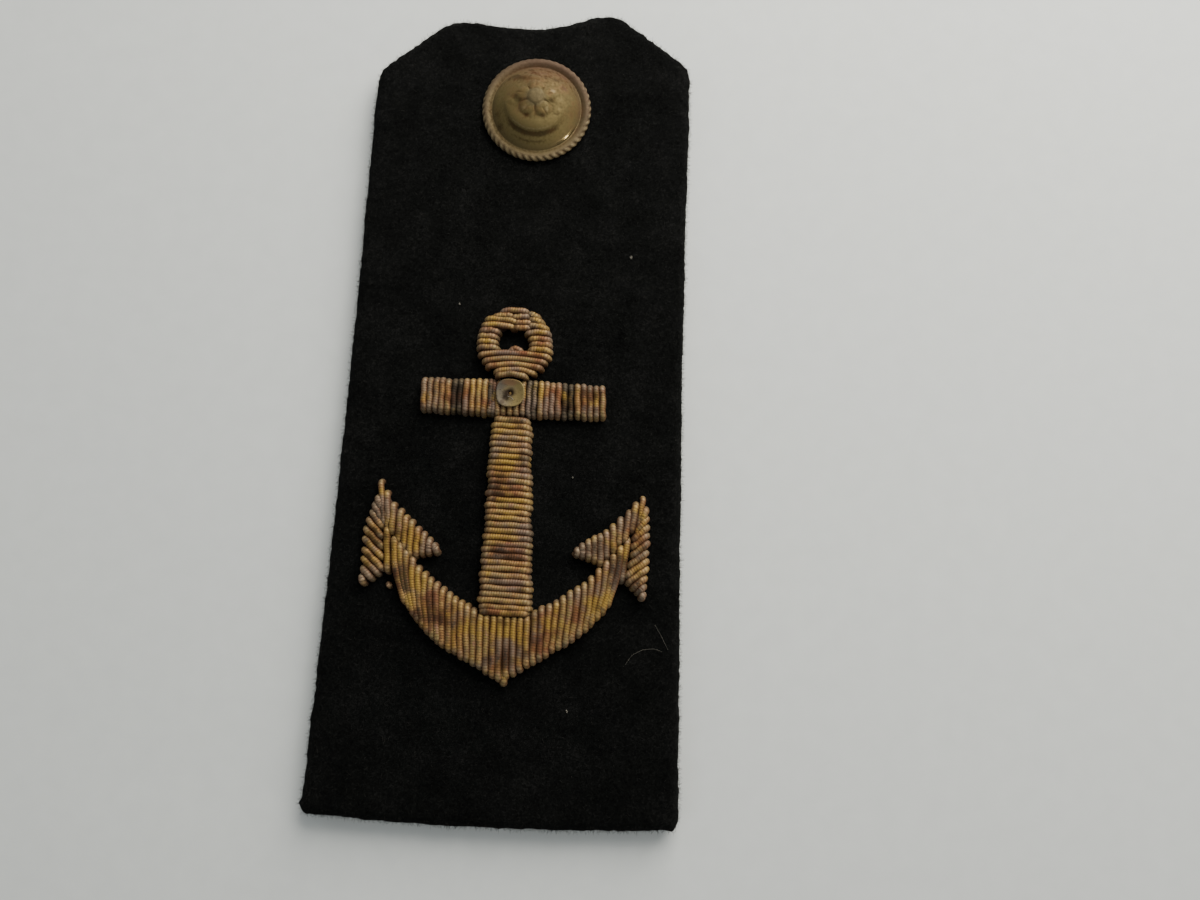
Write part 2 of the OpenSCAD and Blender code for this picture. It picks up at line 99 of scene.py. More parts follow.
def mottled(name, size, detail, colours, finish, bump=None):
    """A material whose colour drifts by noise of a size in mm. Bump is strength and depth."""
    made, tree = new_material(name)
    noise = node(tree, "ShaderNodeTexNoise", {
        "Vector": node(tree, "ShaderNodeTexCoord").outputs["Object"], "Scale": 1 / (size * mm),
        "Detail": detail})
    surface = node(tree, "ShaderNodeBsdfPrincipled", {
        "Base Color": stops(node(tree, "ShaderNodeValToRGB", {0: noise.outputs[0]}), colours), **finish})
    if bump:
        raised = node(tree, "ShaderNodeBump", {
            "Strength": bump[0], "Distance": bump[1] * mm, "Height": noise.outputs[0]})
        tree.links.new(raised.outputs[0], surface.inputs["Normal"])
    node(tree, "ShaderNodeOutputMaterial", {"Surface": surface})
    return made


def new_geometry_tree(name, inputs):
    """A Geometry Nodes tree with named inputs, and its input node."""
    tree = bpy.data.node_groups.new(name, "GeometryNodeTree")
    tree.interface.new_socket("Geometry", in_out="INPUT", socket_type="NodeSocketGeometry")
    tree.interface.new_socket("Geometry", in_out="OUTPUT", socket_type="NodeSocketGeometry")
    for label, kind in inputs:
        tree.interface.new_socket(label, in_out="INPUT", socket_type="NodeSocket" + kind)
    return tree, node(tree, "NodeGroupInput")


def apply_modifiers(piece):
    """Gives a piece the mesh that its modifiers make, and removes them."""
    depsgraph = bpy.context.evaluated_depsgraph_get()
    made = bpy.data.meshes.new_from_object(piece.evaluated_get(depsgraph))
    piece.modifiers.clear()
    piece.data = made


def grow(piece, tree, values):
    """Runs a Geometry Nodes tree on a piece and leaves a plain mesh."""
    modifier = piece.modifiers.new("grow", "NODES")
    modifier.node_group = tree
    for item in tree.interface.items_tree:
        if item.name in values:
            modifier[item.identifier] = values[item.name]
    apply_modifiers(piece)


def new_piece(name, mesh):
    piece = bpy.data.objects.new(name, mesh)
    bpy.context.scene.collection.objects.link(piece)
    return piece


def mesh_of(name, points, faces=(), edges=()):
    """A mesh from points in metres."""
    mesh = bpy.data.meshes.new(name)
    mesh.from_pydata([tuple(p) for p in points], edges, faces)
    return mesh


def points_of(piece):
    values = np.zeros(3 * len(piece.data.vertices))
    piece.data.vertices.foreach_get("co", values)
    return values.reshape(-1, 3)


def move_points(piece, points):
    piece.data.vertices.foreach_set("co", np.asarray(points, float).ravel())
    piece.data.update()


# The cover starts from the board's own solid, remeshed in even cells.
cover = new_piece("board_cover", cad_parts["board"].data.copy())
merge = bmesh.new()
merge.from_mesh(cover.data)
bmesh.ops.remove_doubles(merge, verts=merge.verts, dist=0.001 * mm)
merge.to_mesh(cover.data)
merge.free()
remesh = cover.modifiers.new("cells", "REMESH")
remesh.mode = "VOXEL"
remesh.voxel_size = cover_cell
remesh.use_smooth_shade = True
apply_modifiers(cover)


def swell_cloth(piece, frames, pressure, cap):
    """Lets the cloth of the face swell a little. It is enlarged for the simulation, which
    hardly moves cloth as small as this."""
    enlarge = 20
    face_depth = 0.3 * mm
    start = points_of(piece)
    move_points(piece, start * enlarge)
    held = piece.vertex_groups.new(name="held")
    for i, p in enumerate(start):
        held.add([i], 1.0 if p[2] < board_top - face_depth else 0.25, "REPLACE")
    cloth = piece.modifiers.new("swell", "CLOTH")
    cloth.settings.quality = 4
    cloth.settings.tension_stiffness = 20
    cloth.settings.bending_stiffness = 2
    cloth.settings.vertex_group_mass = "held"
    cloth.settings.use_pressure = True
    cloth.settings.uniform_pressure_force = pressure
    cloth.settings.effector_weights.gravity = 0
    cloth.point_cache.frame_start = 1
    cloth.point_cache.frame_end = frames
    for frame_number in range(1, frames + 1):
        bpy.context.scene.frame_set(frame_number)
    apply_modifiers(piece)
    moved = points_of(piece) / enlarge - start
    length = np.linalg.norm(moved, axis=1, keepdims=True) + 1e-12
    move_points(piece, start + moved / length * cap * np.tanh(length / cap))
    piece.vertex_groups.clear()
    bpy.context.scene.frame_set(1)


swell_cloth(cover, frames=12, pressure=2, cap=0.15 * mm)

# Black melton wool: no gloss, and a grain of matted fibres. The fibres are 0.02 mm thick
# and too fine to show, so the grain is drawn at about 0.3 mm.
melton, tree = new_material("black melton wool")
place = node(tree, "ShaderNodeTexCoord").outputs["Object"]
grain = node(tree, "ShaderNodeTexNoise", {
    "Vector": place, "Scale": 1 / (0.4 * mm), "Detail": 4.0, "Roughness": 0.7, "Distortion": 1.2})
blotch = node(tree, "ShaderNodeTexNoise", {"Vector": place, "Scale": 1 / (5 * mm), "Detail": 3.0})
both = node(tree, "ShaderNodeMix", {0: 0.25, 2: grain.outputs[0], 3: blotch.outputs[0]})
shade = stops(node(tree, "ShaderNodeValToRGB", {0: both}), [
    (0.36, "#020202"), (0.46, "#090a09"), (0.54, "#0e0f0e"), (0.64, "#1b1b1a")])
fibres = node(tree, "ShaderNodeTexNoise", {
    "Vector": place, "Scale": 1 / (0.25 * mm), "Detail": 4.0, "Distortion": 2.5})
bump = node(tree, "ShaderNodeBump", {
    "Strength": 0.9, "Distance": 0.15 * mm, "Height": fibres.outputs[0]})
wool = node(tree, "ShaderNodeBsdfPrincipled", {
    "Base Color": shade, "Roughness": 1.0, "Specular IOR Level": 0.03,
    "Sheen Weight": 0.01, "Sheen Roughness": 0.6, "Normal": bump})
node(tree, "ShaderNodeOutputMaterial", {"Surface": wool})

# Felted surface: broad waves and small lumps along the normal, none on the underside
felt_tree, felt_in = new_geometry_tree("felted cloth", [
    ("Wave Size", "Float"), ("Wave Height", "Float"), ("Lump Size", "Float"),
    ("Lump Height", "Float"), ("Material", "Material")])
felt_place = node(felt_tree, "GeometryNodeInputPosition")
felt_rise = node(felt_tree, "ShaderNodeMapRange", {
    "Value": node(felt_tree, "ShaderNodeSeparateXYZ", {0: felt_place}).outputs["Z"],
    "From Min": 0.1 * mm, "From Max": 1.0 * mm})
felted = felt_in
for size, height, seed in (("Wave Size", "Wave Height", 3.0), ("Lump Size", "Lump Height", 8.0)):
    per_size = node(felt_tree, "ShaderNodeMath", {
        0: 1.0, 1: felt_in.outputs[size]}, operation="DIVIDE")
    noise = node(felt_tree, "ShaderNodeTexNoise", {
        "Vector": felt_place, "W": seed, "Scale": per_size, "Detail": 1.0}, noise_dimensions="4D")
    centred = node(felt_tree, "ShaderNodeMath", {0: noise, 1: 0.5}, operation="SUBTRACT")
    lift = node(felt_tree, "ShaderNodeMath", {
        0: centred, 1: felt_in.outputs[height]}, operation="MULTIPLY")
    share = node(felt_tree, "ShaderNodeMath", {0: lift, 1: felt_rise}, operation="MULTIPLY")
    move = node(felt_tree, "ShaderNodeVectorMath", {
        0: node(felt_tree, "GeometryNodeInputNormal"), "Scale": share}, operation="SCALE")
    felted = node(felt_tree, "GeometryNodeSetPosition", {"Geometry": felted, "Offset": move})
real = node(felt_tree, "GeometryNodeRealizeInstances", {0: felted})
dressed = node(felt_tree, "GeometryNodeSetMaterial", {
    0: real, "Material": felt_in.outputs["Material"]})
node(felt_tree, "NodeGroupOutput", {0: dressed})
grow(cover, felt_tree, {
    "Wave Size": 5 * mm, "Wave Height": 0.4 * mm, "Lump Size": 1.0 * mm, "Lump Height": 0.55 * mm,
    "Material": melton})

# The cloth is folded round the corners of the foot: a sharp corner at the right and a nub of
# folded cloth at the left. Place, push and reach in mm:
folds = [
    ((24.2, -56.9, 2.2), (0.45, -0.45, 0.0), 0.9),
    ((-24.2, -56.6, 2.2), (-0.3, -0.3, 0.0), 0.9),
    ((-24.5, -55.6, 1.8), (-0.55, 0.0, 0.0), 0.6),
]
cover_points = points_of(cover)
for fold_place, push, reach in folds:
    far = np.sum((cover_points / mm - fold_place) ** 2, axis=1) / reach ** 2
    cover_points += np.exp(-far)[:, None] * np.array(push) * mm
move_points(cover, cover_points)

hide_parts("board")
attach(cover, "root")

# Nap
# The nap of the melton: loose ends of wool that stand up out of the matted face and show
# as a fine fringe along the edges. Real wool is finer than shows here, so each end is
# drawn thicker.

# Wool fibre: each end catches a little light, so it is greyer than the cloth.
fibre = mottled("wool fibre", 0.8, 1.0, [(0.35, "#070707"), (0.5, "#141413"), (0.65, "#2c2b28")],
                {"Roughness": 0.9, "Specular IOR Level": 0.1})

nap_tree, nap_in = new_geometry_tree("wool nap", [
    ("Density", "Float"), ("Length", "Float"), ("Thickness", "Float"), ("Least Slope", "Float"),
    ("Most Slope", "Float"), ("Lean", "Float"), ("Seed", "Int"), ("Material", "Material")])
slope = node(nap_tree, "ShaderNodeSeparateXYZ", {0: node(nap_tree, "GeometryNodeInputNormal")})
above = node(nap_tree, "FunctionNodeCompare", {
    0: slope.outputs["Z"], 1: nap_in.outputs["Least Slope"]}, operation="GREATER_THAN")
below = node(nap_tree, "FunctionNodeCompare", {
    0: slope.outputs["Z"], 1: nap_in.outputs["Most Slope"]}, operation="LESS_THAN")
sown = node(nap_tree, "GeometryNodeDistributePointsOnFaces", {
    "Mesh": nap_in.outputs["Geometry"],
    "Selection": node(nap_tree, "FunctionNodeBooleanMath", {0: above, 1: below}, operation="AND"),
    "Density": nap_in.outputs["Density"], "Seed": nap_in.outputs["Seed"]})
hair_line = node(nap_tree, "GeometryNodeCurveQuadraticBezier", {
    "Resolution": 3, "Start": (0, 0, -0.1), "Middle": (0.1, 0, 0.55), "End": (0.65, 0.1, 0.75)})
hair_taper = node(nap_tree, "ShaderNodeMapRange", {
    "Value": node(nap_tree, "GeometryNodeSplineParameter"), "To Min": 1.0, "To Max": 0.25})
hair_ratio = node(nap_tree, "ShaderNodeMath", {
    0: nap_in.outputs["Thickness"], 1: nap_in.outputs["Length"]}, operation="DIVIDE")
hair = node(nap_tree, "GeometryNodeCurveToMesh", {
    "Curve": hair_line, "Scale": hair_taper, "Fill Caps": True,
    "Profile Curve": node(nap_tree, "GeometryNodeCurvePrimitiveCircle", {
        "Resolution": 3, "Radius": hair_ratio})})
hair_turn = node(nap_tree, "FunctionNodeRandomValue", {
    0: (-1.0, -1.0, 0.0), 1: (1.0, 1.0, 6.28), "Seed": nap_in.outputs["Seed"]},
    data_type="FLOAT_VECTOR")
hair_most = node(nap_tree, "ShaderNodeCombineXYZ", {
    "X": nap_in.outputs["Lean"], "Y": nap_in.outputs["Lean"], "Z": 1.0})
hair_lean = node(nap_tree, "ShaderNodeVectorMath", {0: hair_turn, 1: hair_most}, operation="MULTIPLY")
hair_spin = node(nap_tree, "FunctionNodeRotateRotation", {
    0: sown.outputs["Rotation"], 1: hair_lean}, rotation_space="LOCAL")
hair_size = node(nap_tree, "FunctionNodeRandomValue", {
    2: 0.4, 3: 1.3, "Seed": nap_in.outputs["Seed"]}, data_type="FLOAT")
hair_scale = node(nap_tree, "ShaderNodeMath", {
    0: hair_size.outputs[1], 1: nap_in.outputs["Length"]}, operation="MULTIPLY")
hairs = node(nap_tree, "GeometryNodeInstanceOnPoints", {
    "Points": sown, "Instance": hair, "Rotation": hair_spin, "Scale": hair_scale})
real = node(nap_tree, "GeometryNodeRealizeInstances", {0: hairs})
dressed = node(nap_tree, "GeometryNodeSetMaterial", {
    0: real, "Material": nap_in.outputs["Material"]})
node(nap_tree, "NodeGroupOutput", {0: dressed})

# Name, ends per square millimetre, their length and thickness in mm, lowest and highest
# slope of the cloth that they grow on, lean, seed
nap_rows = [
    ("nap_of_face", 1.6, 0.6, 0.02, 0.9, 1.1, 0.9, 11),
    ("nap_of_edges", 7.8, 0.55, 0.022, -0.9, 0.9, 0.8, 12),
    ("nap_of_back", 0.5, 0.5, 0.016, -1.1, -0.9, 0.9, 13),
]
for name, density, length, thickness, least, most, lean, seed in nap_rows:
    nap = new_piece(name, cover.data.copy())
    grow(nap, nap_tree, {
        "Density": density / mm ** 2, "Length": length * mm, "Thickness": thickness * mm,
        "Least Slope": least, "Most Slope": most, "Lean": lean, "Seed": seed, "Material": fibre})
    tips = points_of(nap)
    tips[:, 2] = np.maximum(tips[:, 2], 0)
    move_points(nap, tips)
    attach(nap, "root")

# Button back
# A plain round brass plate with a post that passes through the board. It holds the shell
# and is hidden once the button is fixed.

# Plain rolled brass, dull and lightly stained, with faint turning marks.
plain_brass, tree = new_material("plain rolled brass")
place = node(tree, "ShaderNodeTexCoord").outputs["Object"]
stain = node(tree, "ShaderNodeTexNoise", {"Vector": place, "Scale": 1 / (2.5 * mm), "Detail": 4.0})
shade = stops(node(tree, "ShaderNodeValToRGB", {0: stain.outputs[0]}), [
    (0.35, "#5c4722"), (0.55, "#8c7440"), (0.75, "#a48d55")])
gloss = node(tree, "ShaderNodeMapRange", {"Value": stain.outputs[0], "To Min": 0.6, "To Max": 0.35})
marks = node(tree, "ShaderNodeTexWave", {
    "Vector": place, "Scale": 1 / (1.2 * mm), "Distortion": 2.0}, wave_type="RINGS", rings_direction="Z")
bump = node(tree, "ShaderNodeBump", {"Strength": 0.15, "Distance": 0.02 * mm, "Height": marks.outputs[1]})
brass = node(tree, "ShaderNodeBsdfPrincipled", {
    "Base Color": shade, "Metallic": 1.0, "Roughness": gloss, "Normal": bump})
node(tree, "ShaderNodeOutputMaterial", {"Surface": brass})
button_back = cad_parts["button_back"]
button_back.data.materials.clear()
button_back.data.materials.append(plain_brass)

# Button shell
# A thin brass shell, struck between dies and gilt: a dome with a five-petalled blossom
# over an anchor, in a rim like a rope. The gilding is worn dull, and brown tarnish sits in
# the hollows; painted shadow and highlight are added to its colour.

shell_low, shell_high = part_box("button_shell")
button_x = (shell_low.x + shell_high.x) / 2 / mm
button_y = (shell_low.y + shell_high.y) / 2 / mm
seat_z = shell_low.z / mm
button_r = (shell_high.x - shell_low.x) / 2 / mm
rope_r = 0.62
rope_turns = 47
rope_cut = 0.22
rope_height = 0.72
dome_r = 6.36
dome_foot_z = seat_z + 0.8
dome_rise = 3.5
dome_ball = (dome_r ** 2 + dome_rise ** 2) / (2 * dome_rise)
dome_centre = dome_foot_z + dome_rise - dome_ball
bore_r = 5.96
bore_z = seat_z + 0.25
shell_wall = 0.4
emblem_turn = math.radians(-10)
petals = 5
boss_r = 1.32
bar_v, bar_reach = 3.3, 3.15
bar_half = 0.36
segments = rope_turns * 8


def rise(distance, soft):
    """1 well inside an outline and 0 well outside. Distance is negative inside."""
    return 1 / (1 + np.exp(np.clip(distance / soft, -30, 30)))


def blossom(x, y):
    """Height of the struck blossom: five petals, worn soft, round a boss."""
    height = np.zeros_like(x)
    for k in range(petals):
        turn = math.radians(90 + 360 / petals * k)
        along = x * math.cos(turn) + y * math.sin(turn)
        across = -x * math.sin(turn) + y * math.cos(turn)
        lobe = (np.hypot((along - 1.8) / 0.95, across / 0.98) - 1) * 0.9
        petal = np.minimum(lobe, np.maximum(np.abs(across) - 0.2 - 0.5 * along, along - 1.7))
        notch = 0.08 * np.exp(-(across / 0.15) ** 2) * np.clip(along - 1.6, 0, 1)
        height = np.maximum(height, rise(petal, 0.14) * (0.27 - notch))
    distance = np.hypot(x - 0.04, y - 0.13)
    boss = rise(distance - boss_r, 0.13) * (0.4 - 0.05 * distance ** 2)
    for k in range(6):
        turn = math.radians(60 * k + 15)
        seed = np.hypot(x - 0.75 * math.cos(turn), y - 0.75 * math.sin(turn))
        boss += 0.03 * rise(seed - 0.2, 0.1)
    return np.maximum(height, boss)


def emblem(x, y):
    """Height of the struck anchor: arms below the blossom, shank, stock and ring."""
    u = x * math.cos(emblem_turn) + y * math.sin(emblem_turn)
    v = -x * math.sin(emblem_turn) + y * math.cos(emblem_turn)
    arms = rise(np.hypot(u, v) - 4.4, 0.1) * rise(4.3 - np.hypot(u, v - 1.25), 0.35) * rise(v + 0.9, 0.3)
    shank = np.maximum(np.abs(u) - bar_half, np.abs(v + 0.35) - 3.9)
    stock = np.maximum(np.abs(v - bar_v) - bar_half, np.abs(u) - bar_reach)
    ring = np.abs(np.hypot(u, v - 4.4) - 0.62) - 0.2
    flukes = np.minimum(np.hypot(u - 3.6, v + 1.3), np.hypot(u + 3.6, v + 1.3)) - 0.7
    height = 0.28 * arms
    for distance, lift in ((shank, 0.14), (stock, 0.15), (ring, 0.08), (flukes, 0.14)):
        height = np.maximum(height, lift * rise(distance, 0.13))
    return height


def relief(x, y):
    fade = rise(np.hypot(x, y) - 5.7, 0.12)
    return np.maximum(blossom(x, y), emblem(x, y) * fade)


# Spots of tarnish and of painted shadow, below the petals' tips and under the stock, and of rubbed
# metal and painted highlight where the amount is below zero: x and y from the button's middle
# and reach, in mm, and amount
tarnish_and_shadow_spots = [
    (2.46, 1.25, 0.35, -0.7), (2.29, -0.13, 0.3, 0.5), (-2.9, 0.3, 0.4, 0.45), (-2.1, -0.4, 0.35, 0.45),
    (-1.17, -2.46, 0.4, 0.5), (1.17, -2.46, 0.4, 0.5), (3.1, -1.9, 0.4, 0.25), (-1.25, -1.6, 0.5, -0.3),
    (1.6, -1.6, 0.5, -0.3), (-3.4, 4.0, 0.6, 0.5), (-2.7, 3.7, 0.6, 0.6), (-1.7, 3.4, 0.6, 0.5),
    (-1.1, 5.2, 0.35, 0.45), (-0.5, 4.4, 0.35, 0.4), (1.2, 5.0, 0.35, 0.45), (1.8, 4.0, 0.35, 0.4),
    (-5.4, -1.6, 0.5, 0.35), (-5.0, -3.2, 0.6, 0.4), (5.5, 2.2, 0.4, 0.3),
]
# Arcs of painted shadow with tarnish below the emblem's arms, and one of painted highlight along the
# arms' lower edge: radius and width in mm, amount, half of the angle and how sharply the arc ends
shadow_and_highlight_arcs = [(4.72, 0.27, 0.75, 48, 6), (4.25, 0.13, -0.3, 48, 6), (5.5, 0.14, 0.4, 26, 4)]
arc_middle = 264
groove = [(6.46, 0.04, 0.3), (6.62, 0.1, 0.25)]

shell_points = []
shell_tarnish_and_shade = []
turns = 2 * np.pi * np.arange(segments) / segments


def add_ring(radius, z, hollow):
    radius, z, hollow = (np.broadcast_to(value, turns.shape) for value in (radius, z, hollow))
    ring = np.column_stack([button_x + radius * np.cos(turns), button_y + radius * np.sin(turns), z])
    shell_points.extend(ring * mm)
    shell_tarnish_and_shade.extend(hollow)


# Outside of the dome, from near its top down to the groove at the rim
for r in np.concatenate([np.linspace(0.08, 4.0, 44), np.linspace(4.09, dome_r, 24)]):
    x, y = r * np.cos(turns), r * np.sin(turns)
    lift = relief(x, y)
    around = [relief(x + 0.3 * math.cos(a), y + 0.3 * math.sin(a)) for a in np.arange(8) * math.pi / 4]
    # Darker in the hollows round raised parts and paler on their edges: tarnish and rubbing, with painted
    # shade. The spots and arcs add painted shadow and highlight.
    tarnish_and_shade_sum = 3.2 * (np.mean(around, axis=0) - lift)
    for mark_x, mark_y, reach, amount in tarnish_and_shadow_spots:
        tarnish_and_shade_sum += amount * np.exp(-((x - mark_x) ** 2 + (y - mark_y) ** 2) / reach ** 2)
    for arc_r, width, amount, spread, sharp in shadow_and_highlight_arcs:
        ends = ((np.degrees(turns) - arc_middle) / spread) ** sharp
        tarnish_and_shade_sum += amount * np.exp(-ends - ((r - arc_r) / width) ** 2)
    add_ring(r, dome_centre + math.sqrt(dome_ball ** 2 - r ** 2) + lift, tarnish_and_shade_sum)
for r, height, brown_tarnish_and_shade in groove:
    add_ring(r, dome_foot_z + height, brown_tarnish_and_shade)
# Rim: a rope, worn smooth on its inner side
rope_path = button_r - rope_r
for angle in np.linspace(118, -90, 20):
    a = math.radians(angle)
    worn = 1 / (1 + np.exp((angle - 55 + 25 * np.sin(turns)) / 8))
    lobe = np.abs(np.sin(rope_turns * turns / 2 + 1.1 * a))
    r = rope_r * (1 - rope_cut * worn * (1 - lobe))
    flat = rope_height if a > 0 else 1
    add_ring(rope_path + r * math.cos(a), seat_z + rope_r + r * math.sin(a) * flat,
             worn * 1.2 * (0.5 - lobe))
# Underside, bore and inside of the dome
add_ring(bore_r + 0.2, bore_z, 0.6)
add_ring(bore_r, bore_z + 0.1, 0.6)
for r in np.concatenate([[bore_r], np.linspace(5.7, 0.4, 14)]):
    add_ring(r, dome_centre + math.sqrt((dome_ball - shell_wall) ** 2 - r ** 2), 0.6)
rings = len(shell_points) // segments
shell_points.append(np.array([button_x, button_y, dome_centre + dome_ball + relief(
    np.zeros(1), np.zeros(1))[0]]) * mm)
shell_points.append(np.array([button_x, button_y, dome_centre + dome_ball - shell_wall]) * mm)
shell_tarnish_and_shade.extend([0.0, 0.6])
shell_faces = []
for j in range(segments):
    k = (j + 1) % segments
    shell_faces.append((len(shell_points) - 2, j, k))
    shell_faces.append((len(shell_points) - 1, (rings - 1) * segments + k, (rings - 1) * segments + j))
    for i in range(rings - 1):
        shell_faces.append((i * segments + j, (i + 1) * segments + j,
                            (i + 1) * segments + k, i * segments + k))
shell = new_piece("struck_button", mesh_of("struck_button", shell_points, shell_faces))
# The hollow attribute holds tarnish and painted shade, and rubbing with painted highlight where it is below
# zero.
hollow = shell.data.attributes.new("hollow", "FLOAT", "POINT")
hollow.data.foreach_set("value", np.array(shell_tarnish_and_shade, float))
shell.data.shade_smooth()


def level_distance(tree, place, x, y, reach_x=1.0, reach_y=1.0):
    """Distance from a point, seen from above, in mm or as a share of a reach in mm."""
    offset = node(tree, "ShaderNodeVectorMath", {0: place, 1: (x * mm, y * mm, 0)}, operation="SUBTRACT")
    level = node(tree, "ShaderNodeVectorMath", {
        0: offset, 1: (1 / (reach_x * mm), 1 / (reach_y * mm), 0)}, operation="MULTIPLY")
    return node(tree, "ShaderNodeVectorMath", {0: level}, operation="LENGTH").outputs["Value"]


# Gilt brass, struck and worn: soft gloss, grey where the gilding has gone from the top,
# pinkish and olive films, brown tarnish in the hollows with painted shade, shadow and highlight.
gilt, tree = new_material("worn gilt brass")
place = node(tree, "ShaderNodeTexCoord").outputs["Object"]
film = node(tree, "ShaderNodeTexNoise", {
    "Vector": place, "Scale": 1 / (2.6 * mm), "Detail": 4.0, "Roughness": 0.6})
base = stops(node(tree, "ShaderNodeValToRGB", {0: film.outputs[0]}), [
    (0.32, "#4f3926"), (0.42, "#604e2d"), (0.52, "#584c2b"), (0.62, "#655734"), (0.74, "#544a2a")])
# Places from the button's middle, in mm
centre = node(tree, "ShaderNodeMapping", {
    "Vector": place, "Scale": (1 / mm, 1 / mm, 1 / mm), "Location": (-button_x, -button_y, 0)})
across = node(tree, "ShaderNodeSeparateXYZ", {0: centre})
from_middle = level_distance(tree, place, button_x, button_y)
films = []
# Grey boss, pinkish brown upper part, olive lower and left parts, greyish pink rim. The upper part
# is also darker as painted shade, and the lower and left parts lighter as painted light, to even
# out the light from the upper right.
for value, least, most, amount, tint in (
        (from_middle, 1.7, 1.1, 0.4, "#5a513e"), (across.outputs["Y"], 1.0, 6.0, 0.75, "#5c412a"),
        (across.outputs["Y"], -1.0, -6.0, 0.75, "#84764b"),
        (across.outputs["X"], -1.0, -6.0, 0.5, "#74683f"), (from_middle, 5.6, 7.2, 0.6, "#4c3f36")):
    films.append((node(tree, "ShaderNodeMapRange", {
        "Value": value, "From Min": least, "From Max": most, "To Max": amount}), rgb(tint)))
specks = node(tree, "ShaderNodeTexNoise", {"Vector": place, "Scale": 1 / (0.35 * mm), "Detail": 5.0})
depth = node(tree, "ShaderNodeAttribute", attribute_name="hollow")
ragged = node(tree, "ShaderNodeMath", {
    0: node(tree, "ShaderNodeMath", {0: specks.outputs[0], 1: 0.5}, operation="SUBTRACT"), 1: 0.5,
    2: depth.outputs["Fac"]}, operation="MULTIPLY_ADD")
# Tarnish has run down the upper part in streaks.
streak = node(tree, "ShaderNodeTexNoise", {
    "Vector": node(tree, "ShaderNodeMapping", {"Vector": centre, "Scale": (1, 0.22, 1)}),
    "Scale": 1 / 0.7, "Detail": 3.0})
streak = node(tree, "ShaderNodeMapRange", {"Value": streak.outputs[0], "From Min": 0.5, "From Max": 0.62})
upper = node(tree, "ShaderNodeMapRange", {
    "Value": across.outputs["Y"], "From Min": 1.8, "From Max": 3.2, "To Max": 0.45})
on_dome = node(tree, "ShaderNodeMapRange", {"Value": from_middle, "From Min": 6.4, "From Max": 6.0})
streak = node(tree, "ShaderNodeMath", {0: streak, 1: on_dome}, operation="MULTIPLY")
ragged = node(tree, "ShaderNodeMath", {0: streak, 1: upper, 2: ragged}, operation="MULTIPLY_ADD")
# Brown: tarnish, and painted shade and shadow from the hollows, spots and arcs
brown_tarnish_and_shade = node(tree, "ShaderNodeMapRange", {
    "Value": ragged, "From Min": 0.05, "From Max": 0.6, "To Max": 0.75})
brown = stops(node(tree, "ShaderNodeValToRGB", {0: film.outputs[0]}), [
    (0.4, "#4a2f16"), (0.6, "#3a2d16"), (0.7, "#2c2a18")])
# Pale: rubbed metal, and painted highlight from the spots and arcs below zero
edge = node(tree, "ShaderNodeMapRange", {
    "Value": ragged, "From Min": -0.12, "From Max": -0.6, "To Max": 0.3})
for share, tint in films + [(brown_tarnish_and_shade, brown), (edge, rgb("#b3a27c"))]:
    base = node(tree, "ShaderNodeMix", {0: share, 6: base, 7: tint}, data_type="RGBA").outputs[2]
gloss = node(tree, "ShaderNodeMapRange", {
    "Value": specks.outputs[0], "From Min": 0.3, "From Max": 0.7, "To Min": 0.6, "To Max": 0.8})
rough = node(tree, "ShaderNodeMath", {0: brown_tarnish_and_shade, 1: 0.25, 2: gloss}, operation="MULTIPLY_ADD")
# A short band by the rim that sleeves have polished
from_band = node(tree, "ShaderNodeMath", {0: from_middle, 1: 6.2}, operation="SUBTRACT")
polished = node(tree, "ShaderNodeMapRange", {
    "Value": node(tree, "ShaderNodeMath", {0: from_band}, operation="ABSOLUTE"),
    "From Min": 0.3, "From Max": 0.1})
polished = node(tree, "ShaderNodeMath", {0: polished, 1: node(tree, "ShaderNodeMapRange", {
    "Value": level_distance(tree, place, button_x + 4.5, button_y - 4.4),
    "From Min": 2.6, "From Max": 1.4})}, operation="MULTIPLY")
rough = node(tree, "ShaderNodeMix", {0: polished, 2: rough, 3: 0.16})
bump = node(tree, "ShaderNodeBump", {
    "Strength": 0.25, "Distance": 0.03 * mm, "Height": specks.outputs[0]})
metal = node(tree, "ShaderNodeBsdfPrincipled", {
    "Base Color": base, "Metallic": 0.7, "Roughness": rough, "Normal": bump})
node(tree, "ShaderNodeOutputMaterial", {"Surface": metal})
shell.data.materials.append(gilt)
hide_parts("button_shell")
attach(shell, "root")

# Anchor ring
# Bullion: a spring of fine gilt wire, wound close and cut to length like a bead. Each
# strand is threaded on a stitch and laid over felt padding, and dives into the cloth at
# both of its ends. The ring's strands lie level, and stop at the hole.

# Heights and spacings in mm; a strand's radius is a share of the spacing.
cloth_z = board_top / mm
pad_h = 1.85
pad_depth = 0.55
low_step = 0.25
ring_p = 0.8
girth_share = 0.59
wire_pitch = 0.34
wire_depth = 0.045
wire_sides = 10
